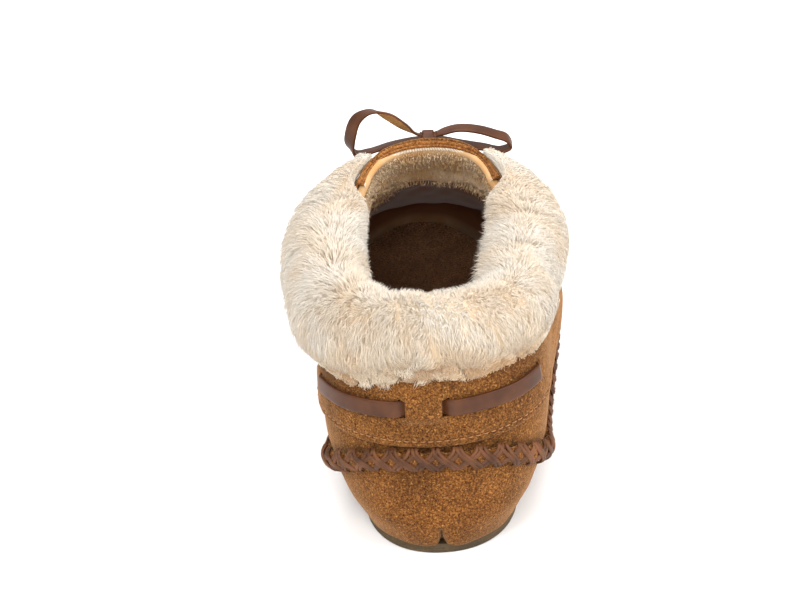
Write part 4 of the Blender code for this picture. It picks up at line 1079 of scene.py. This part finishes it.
# Closed slab between two sheets of points, without the cells that are left out
def slabFaces(keep):
    cols, sheet = keep.shape[1] + 1, (keep.shape[0] + 1) * (keep.shape[1] + 1)
    cell = np.stack(np.nonzero(keep), 1)

    def corner(cells, down, over):
        return (cells[:, 0] + down) * cols + cells[:, 1] + over

    outerFaces = np.stack([corner(cell, 0, 0), corner(cell, 0, 1), corner(cell, 1, 1), corner(cell, 1, 0)], 1)
    padded = np.pad(keep, 1)
    sides = []
    for down, over, first, second in ((-1, 0, (0, 0), (0, 1)), (1, 0, (1, 1), (1, 0)),
                                      (0, -1, (1, 0), (0, 0)), (0, 1, (0, 1), (1, 1))):
        beyond = padded[1 + down:1 + down + keep.shape[0], 1 + over:1 + over + keep.shape[1]]
        atEdge = np.stack(np.nonzero(keep & ~beyond), 1)
        a, b = corner(atEdge, *first), corner(atEdge, *second)
        sides.append(np.stack([b, a, a + sheet, b + sheet], 1))
    return outerFaces, outerFaces[:, ::-1] + sheet, np.concatenate(sides)


outerFaces, innerFaces, sideFaces = slabFaces(keep)
outerPoints = skin(heights, turnGrid + band["shift"], outside)
innerPoints = skin(heights, turnGrid + band["shift"], inside)
toBridge = np.abs(np.abs(turnGrid) - bridgeTurn) * math.radians(1) * backRadius
toFur = np.maximum(furLow(turnGrid + band["shift"]) - heights, 0)
bandShade = np.clip(0.30 * bell(toStitch, 0.0006)
                    + 0.55 * bell(toBridge, 0.0006) * (np.abs(fromLace) < half) * (~onBridge)
                    + 0.42 * np.exp(-toFur / 0.006), 0, 1)
points = np.concatenate([outerPoints.reshape(-1, 3), innerPoints.reshape(-1, 3)])
faces = np.concatenate([outerFaces, innerFaces, sideFaces])
used = np.unique(faces)
renumber = np.full(len(points), -1)
renumber[used] = np.arange(len(used))
values = np.concatenate([bandShade.ravel(), np.zeros(bandShade.size)])[used]
faceFinish = np.concatenate([np.zeros(len(faces) - len(sideFaces), int), np.ones(len(sideFaces), int)])
makePiece("heelBand", points[used], [renumber[faces]], (suedeBand, suedeEdge), ("collar_band",),
          faceFinish=faceFinish, values={"shade": values}, sharp=50)

# stitches sunk in the groove near the band's lower edge and round its corners
stitchTurns = np.linspace(-band["end"] + 3.0, band["end"] - 3.0, 1201)
lowLine = bandEdges(stitchTurns)[0]
stitchLine = skin(lowLine + band["stitchIn"], stitchTurns + band["shift"],
                  np.full(len(stitchTurns), shoe["gap"] + band["thickness"] - 0.00018))
stitchRun = alongRun(stitchLine)
step = band["stitch"] + band["stitchGap"]
inStitch = np.linspace(0, 1, 7)
runs = np.arange(0.001, stitchRun[-1] - step, step)[:, None] + band["stitch"] * inStitch[None]
paths = np.stack([np.interp(runs, stitchRun, stitchLine[:, k]) for k in range(3)], -1)
stitchUps = outward(np.interp(runs, stitchRun, lowLine) + band["stitchIn"],
                    np.interp(runs, stitchRun, stitchTurns) + band["shift"])
paths = paths + stitchUps * (0.00034 * np.sin(math.pi * inStitch) - 0.0002)[None, :, None]
threadSection = ellipse(6, band["stitchRadius"], band["stitchRadius"])
threadTaper = np.sin(math.pi * (0.15 + 0.7 * inStitch))
points, faceSets = tubes(paths, stitchUps, threadSection, threadTaper)
makePiece("bandStitches", points, faceSets, (threadTan,))

# lace over the band, down through the slits and under the bridge, its ends into the eyelets
heelRun = {"pastHole": 1.2, "dive": 1.8, "climb": (0.0002, 0.0042), "sunkEnd": 0.0009, "slack": 0.00022}
turns = np.linspace(-lace["holeTurn"] - heelRun["pastHole"], lace["holeTurn"] + heelRun["pastHole"], 261)
distance = np.abs(np.sin(np.radians(turns))) * backRadius - band["bridge"] / 2
overBand = smoothStep(distance, *heelRun["climb"])
atEnd = smoothStep(np.abs(turns), lace["holeTurn"] - heelRun["dive"], lace["holeTurn"] + heelRun["pastHole"])
out = shoe["gap"] + lace["solidThickness"] / 2 + (band["thickness"] + shoe["gap"]) * overBand * (1 - atEnd)
out = out - heelRun["sunkEnd"] * atEnd + heelRun["slack"] * np.sin(np.radians(turns) * 9) * overBand
path = skin(laceHeight(turns), turns + band["shift"], out)
makeStrip("laceHeel", path, outward(laceHeight(turns), turns + band["shift"]), ("lace_heel",), True)
print("heel band and lace made")


# Braided seam: padded suede bead, crossed leather cords
def braidFrame(run):
    turn = np.interp(run % braidRun[-1], braidRun, braidTurns)
    ahead = np.interp((run + 0.001) % braidRun[-1], braidRun, braidTurns)
    out = np.full(np.shape(turn), shoe["gap"] + braid["height"] / 2 - braid["sunk"])
    tangent = unit(surface(braidHeight(ahead), ahead) - surface(braidHeight(turn), turn))
    up = outward(braidHeight(turn), turn)
    up = unit(up - tangent * np.sum(up * tangent, -1, keepdims=True))
    return skin(braidHeight(turn), turn, out), up, np.cross(up, tangent)


runs = np.linspace(0, braidRun[-1], crossings * 10, endpoint=False)
centre, up, across = braidFrame(runs)
swell = np.cos(math.pi * runs / pitch) ** 2
section = ellipse(14, braid["width"] * 0.42, braid["height"] * 0.5)
points, faceSets = ringTube(centre, up, section, (0.82 + 0.26 * swell, 0.58 + 0.58 * swell))
makePiece("braidBead", points, faceSets, (suedeBump,), ("braid",))

v = np.linspace(-1, 1, 13)
arch = np.sqrt(np.clip(1 - (v / 1.06) ** 2, 0, 1))
crossing = (np.arange(crossings) + 0.5) * pitch
runReach, crossReach = braid["cordReach"]
paths, ups = [], []
for direction, liftUp in braid["lifts"]:
    for offset in (-braid["cordAside"], braid["cordAside"]):
        jitter = rng.uniform(-0.00035, 0.00035, (crossings, 1))
        lean = rng.uniform(0.90, 1.08, (crossings, 1))
        bulge = rng.uniform(-0.0001, 0.00018, (crossings, 1))
        run = direction * np.sin(v * math.pi / 2)[None] * pitch * runReach * lean
        centre, up, across = braidFrame(crossing[:, None] + run + offset + jitter)
        reach = -braid["height"] / 2 + (braid["height"] * 0.98) * arch + liftUp * arch
        side = np.where(across[..., 2:] > 0, 1.0, -1.0)
        paths.append(centre + up * (reach[None] + bulge * arch)[..., None]
                     + across * side * (-v * braid["width"] * crossReach)[None, :, None])
        ups.append(up)
cordSection = ellipse(6, braid["cord"] / 2, braid["cordThickness"] / 2)
points, faceSets = tubes(np.concatenate(paths), np.concatenate(ups), cordSection,
                         0.72 + 0.28 * np.cos(v * math.pi / 2))
makePiece("braidCords", points, faceSets, (leatherBraid,))
print("braid made", crossings, "crossings")

# Throat binding: two rolled edges and the overlock that holds the fleece
binding = {"end": 151.0, "diameter": 0.0036, "stitches": 104, "stations": 181}
# name, outwards and upwards from the rim's middle, radius, node
bindingRolls = (("throatRollOuter", 0.00145, 0.0002, 0.00085, ("throat_binding",)),
                ("throatRollInner", 0.0002, 0.0003, 0.00055, ()))
turns = np.linspace(binding["end"], 360 - binding["end"], binding["stations"])
edge = collar(turns)
rimLine = skin(edge, turns, -wall(edge, turns) / 2)
outDir = outward(edge, turns)
upDir = np.cross(outDir, unit(np.gradient(rimLine, axis=0)))
upDir = unit(upDir * np.sign(upDir[:, 2:3]))
outDir = unit(outDir - upDir * np.sum(outDir * upDir, -1, keepdims=True))
middle = rimLine + upDir * (binding["diameter"] / 2 + shoe["softGap"])
pleat = 1 + 0.05 * np.sin(np.arange(len(turns)) * 1.9) + 0.04 * relief(turns, turns * 0, 31, cell=0.004)
for name, outwards, upwards, size, nodes in bindingRolls:
    path = middle + outDir * outwards + upDir * upwards
    points, faceSets = tubes(path[None], outDir[None], ellipse(12, size, size), pleat[None])
    makePiece(name, points, faceSets, (suedeRoll,), nodes)

w = np.linspace(-1, 1, 7)
index = np.linspace(2, 178, binding["stitches"])[:, None] + 0.55 * w[None]


def atStitches(table):
    return np.stack([np.interp(index, np.arange(len(table)), table[:, k]) for k in range(3)], -1)


outs, ups = unit(atStitches(outDir)), unit(atStitches(upDir))
overEdge = 0.0002 * np.cos(w * math.pi / 2) - 0.0003 * (1 + w)
paths = atStitches(middle) - outs * (0.0009 + 0.0006 * w)[None, :, None] + ups * overEdge[None, :, None]
points, faceSets = tubes(paths, -outs, threadSection * 0.8, threadTaper)
makePiece("throatOverlock", points, faceSets, (threadPale,))
print("throat binding made")

# Outsole and insole
sole = {
    "along": 150, "across": 44, "tread": 0.0007, "treadPitch": 0.0052, "treadWave": (0.0022, 0.018),
    "treadSides": (0.05, 0.10),    # share of the width over which the tread sets in
    "treadHeel": (-0.040, -0.036), "treadToe": (0.188, 0.193),
}
# inset from the outline, height above the floor
soleProfile = ((0.0009, 0.0), (0.0003, 0.0003), (0.0, 0.0010), (0.00005, 0.0016), (0.00022, 0.0019),
               (0.00005, 0.0022), (0.0, 0.0026), (0.0, 0.0036), (0.0003, 0.0040))
share = (1 - np.cos(np.linspace(0, math.pi, sole["along"]))) / 2


def soleRing(inset, height):          # along the right side to the toe and back along the left
    length = shoe["soleLength"] - 2 * inset
    stops = [0] + [row[0] for row in soleRows] + [1]
    ends = roundEnds(share, soleRows[0][0], soleRows[-1][0])
    y = inset - shoe["heelSeat"] + length * share
    edges = []
    for side, column in ((1, 1), (-1, 2)):
        numbers = [row[column] * shoe["ballWidth"] / 2 - inset for row in soleRows]
        width = curve(share, stops, [numbers[0]] + numbers + [numbers[-1] * shoe["toeWidth"]])
        edges.append(np.stack([bigToeSide(share) + side * width * ends, y], 1))
    ring = np.concatenate([edges[0], edges[1][-2:0:-1]])
    return np.column_stack([ring, lift(ring[:, 1]) + height])


# Net between the right and left half of a ring, whose own points start at an offset
def netAcross(ring, start, offset, depthOf):
    n = sole["along"]
    rightIndex = np.arange(n)
    leftIndex = np.concatenate([[0], np.arange(len(ring) - 1, n - 1, -1), [n - 1]])
    t = np.linspace(0, 1, sole["across"])[1:-1]
    m = len(t)
    rightSide, leftSide = ring[rightIndex][1:-1], ring[leftIndex][1:-1]
    net = rightSide[:, None] * (1 - t)[None, :, None] + leftSide[:, None] * t[None, :, None]
    net[..., 2] += depthOf(net[..., 0], net[..., 1], t)
    grid = np.column_stack([offset + rightIndex[1:-1], start + np.arange((n - 2) * m).reshape(n - 2, m),
                            offset + leftIndex[1:-1]])
    quads = np.stack([grid[:-1, :-1], grid[:-1, 1:], grid[1:, 1:], grid[1:, :-1]], -1).reshape(-1, 4)
    heelTris, toeTris = [np.stack([np.full(m + 1, point), row[1:], row[:-1]], 1)
                         for row, point in ((grid[0], offset), (grid[-1], offset + n - 1))]
    return net.reshape(-1, 3), quads, np.concatenate([heelTris, toeTris[:, ::-1]])


def tread(x, y, t):                   # shallow waves across, away from the edges
    swing, waveLength = sole["treadWave"]
    inner = smoothStep(np.minimum(t, 1 - t), *sole["treadSides"])[None] * smoothStep(y, *sole["treadHeel"])
    wave = np.sin(2 * math.pi * (y + swing * np.sin(x * 2 * math.pi / waveLength)) / sole["treadPitch"])
    return sole["tread"] * smoothStep(wave, 0.0, 0.5) * inner * (1 - smoothStep(y, *sole["treadToe"]))


def noTread(x, y, t):
    return 0 * x


rings = [soleRing(inset, height) for inset, height in soleProfile]
sides = gridFaces(len(rings), len(rings[0]))
start = len(rings) * len(rings[0])
lowNet, lowQuads, lowTris = netAcross(rings[0], start, 0, tread)
highNet, highQuads, highTris = netAcross(rings[-1], start + len(lowNet), start - len(rings[0]), noTread)
makePiece("outsoleRubber", np.concatenate([*rings, lowNet, highNet]),
          [np.concatenate([sides, lowQuads, highQuads[:, ::-1]]),
           np.concatenate([lowTris, highTris[:, ::-1]])],
          (rubber,), ("outsole",), sharp=45)

insole = {
    "stations": 240, "thick": 0.005, "topIn": 0.0004, "hollow": 0.0016, "wave": 0.0002, "waveCell": 0.02,
    "inward": (0.05, 0.97), "rings": 22,
}


def spineOf(ring):                    # the points of the middle line beside a ring's own
    middle = bigToeSide((ring[:, 1] + shoe["heelSeat"]) / shoe["soleLength"])
    return np.stack([middle, ring[:, 1], ring[:, 2]], 1)


insoleTurns = evenTurns(0.2 * shoe["instep"], insole["stations"] + 1)[:-1]
lowRing = wallFoot(insoleTurns)
highRing = skin(shoe["innerLow"], insoleTurns, -wall(shoe["innerLow"], insoleTurns))
riseShare = (insole["thick"] / np.maximum(highRing[:, 2] - lowRing[:, 2], 0.001))[:, None]
rows = []
for part in (0.0, 0.5, 0.85, 1.0):
    ring = lowRing + (highRing - lowRing) * np.minimum(riseShare * part, 1)
    room = 3 * shoe["gap"] + insole["topIn"] * (part == 1.0)
    ring = ring - outwardLevel(shoe["flangeThick"], insoleTurns) * room
    ring[:, 2] = lowRing[:, 2] + shoe["softGap"] + insole["thick"] * part
    rows.append(ring)
topRing, lowest = rows[-1], rows[0]
for inward in np.linspace(*insole["inward"], insole["rings"]):
    ring = topRing + (spineOf(topRing) - topRing) * inward
    wave = insole["wave"] * relief(insoleTurns, inward * 0.05, 41, cell=insole["waveCell"])
    ring[:, 2] += insole["hollow"] * (smoothStep(1 - inward, 0.0, 0.5) - 1) + wave
    rows.append(ring)
under = [lowest + (spineOf(lowest) - lowest) * inward for inward in (insole["inward"][1], 0.5)]
rows = np.array(under + rows)
around = insole["stations"]
closing = np.stack([np.arange(around)[::-1], np.arange(around) + (len(rows) - 1) * around])
makePiece("insoleSock", rows, [gridFaces(len(rows), around), closing], (insoleSuede,), ("insole",))
print("sole and insole made")

# Floor and light
floorMesh = bpy.data.meshes.new("floor")
floorMesh.from_pydata([(-6, -6, 0), (6, -6, 0), (6, 9, 0), (-6, 9, 0)], [], [(0, 1, 2, 3)])
floor = bpy.data.objects.new("floor", floorMesh)
floorMaterial, tree, shader = newMaterial("floor, matt white", 0.9)
shader.inputs["Base Color"].default_value = toLinear("#f7f7f7")
floorMesh.materials.append(floorMaterial)
bpy.context.scene.collection.objects.link(floor)

# name, place, size in metres, power in watts
lamps = (
    ("key", (-0.55, -0.85, 1.35), 0.9, 17.0), ("top", (0.10, 0.25, 1.6), 1.4, 22.0),
    ("side", (1.1, -0.5, 0.8), 0.8, 14.0), ("front", (0.03, -1.1, 0.80), 0.45, 6.0),
)
studio = {"aim": (0.0, 0.03, 0.05), "tint": (1.0, 0.985, 0.965), "world": 0.72}
for name, place, size, power in lamps:
    lamp = bpy.data.lights.new(name, "AREA")
    lamp.size, lamp.energy, lamp.color = size, power, studio["tint"]
    holder = bpy.data.objects.new(name, lamp)
    backwards = unit(np.array(place) - np.array(studio["aim"]))
    sideways = unit(np.cross((0, 0, 1.0), backwards))
    holder.matrix_world = standing(place, sideways, np.cross(backwards, sideways), backwards)
    bpy.context.scene.collection.objects.link(holder)
world = bpy.data.worlds.new("studio")
world.use_nodes = True
world.node_tree.nodes["Background"].inputs["Color"].default_value = (1, 1, 1, 1)
world.node_tree.nodes["Background"].inputs["Strength"].default_value = studio["world"]
bpy.context.scene.world = world
bpy.context.scene.view_settings.view_transform = "Standard"
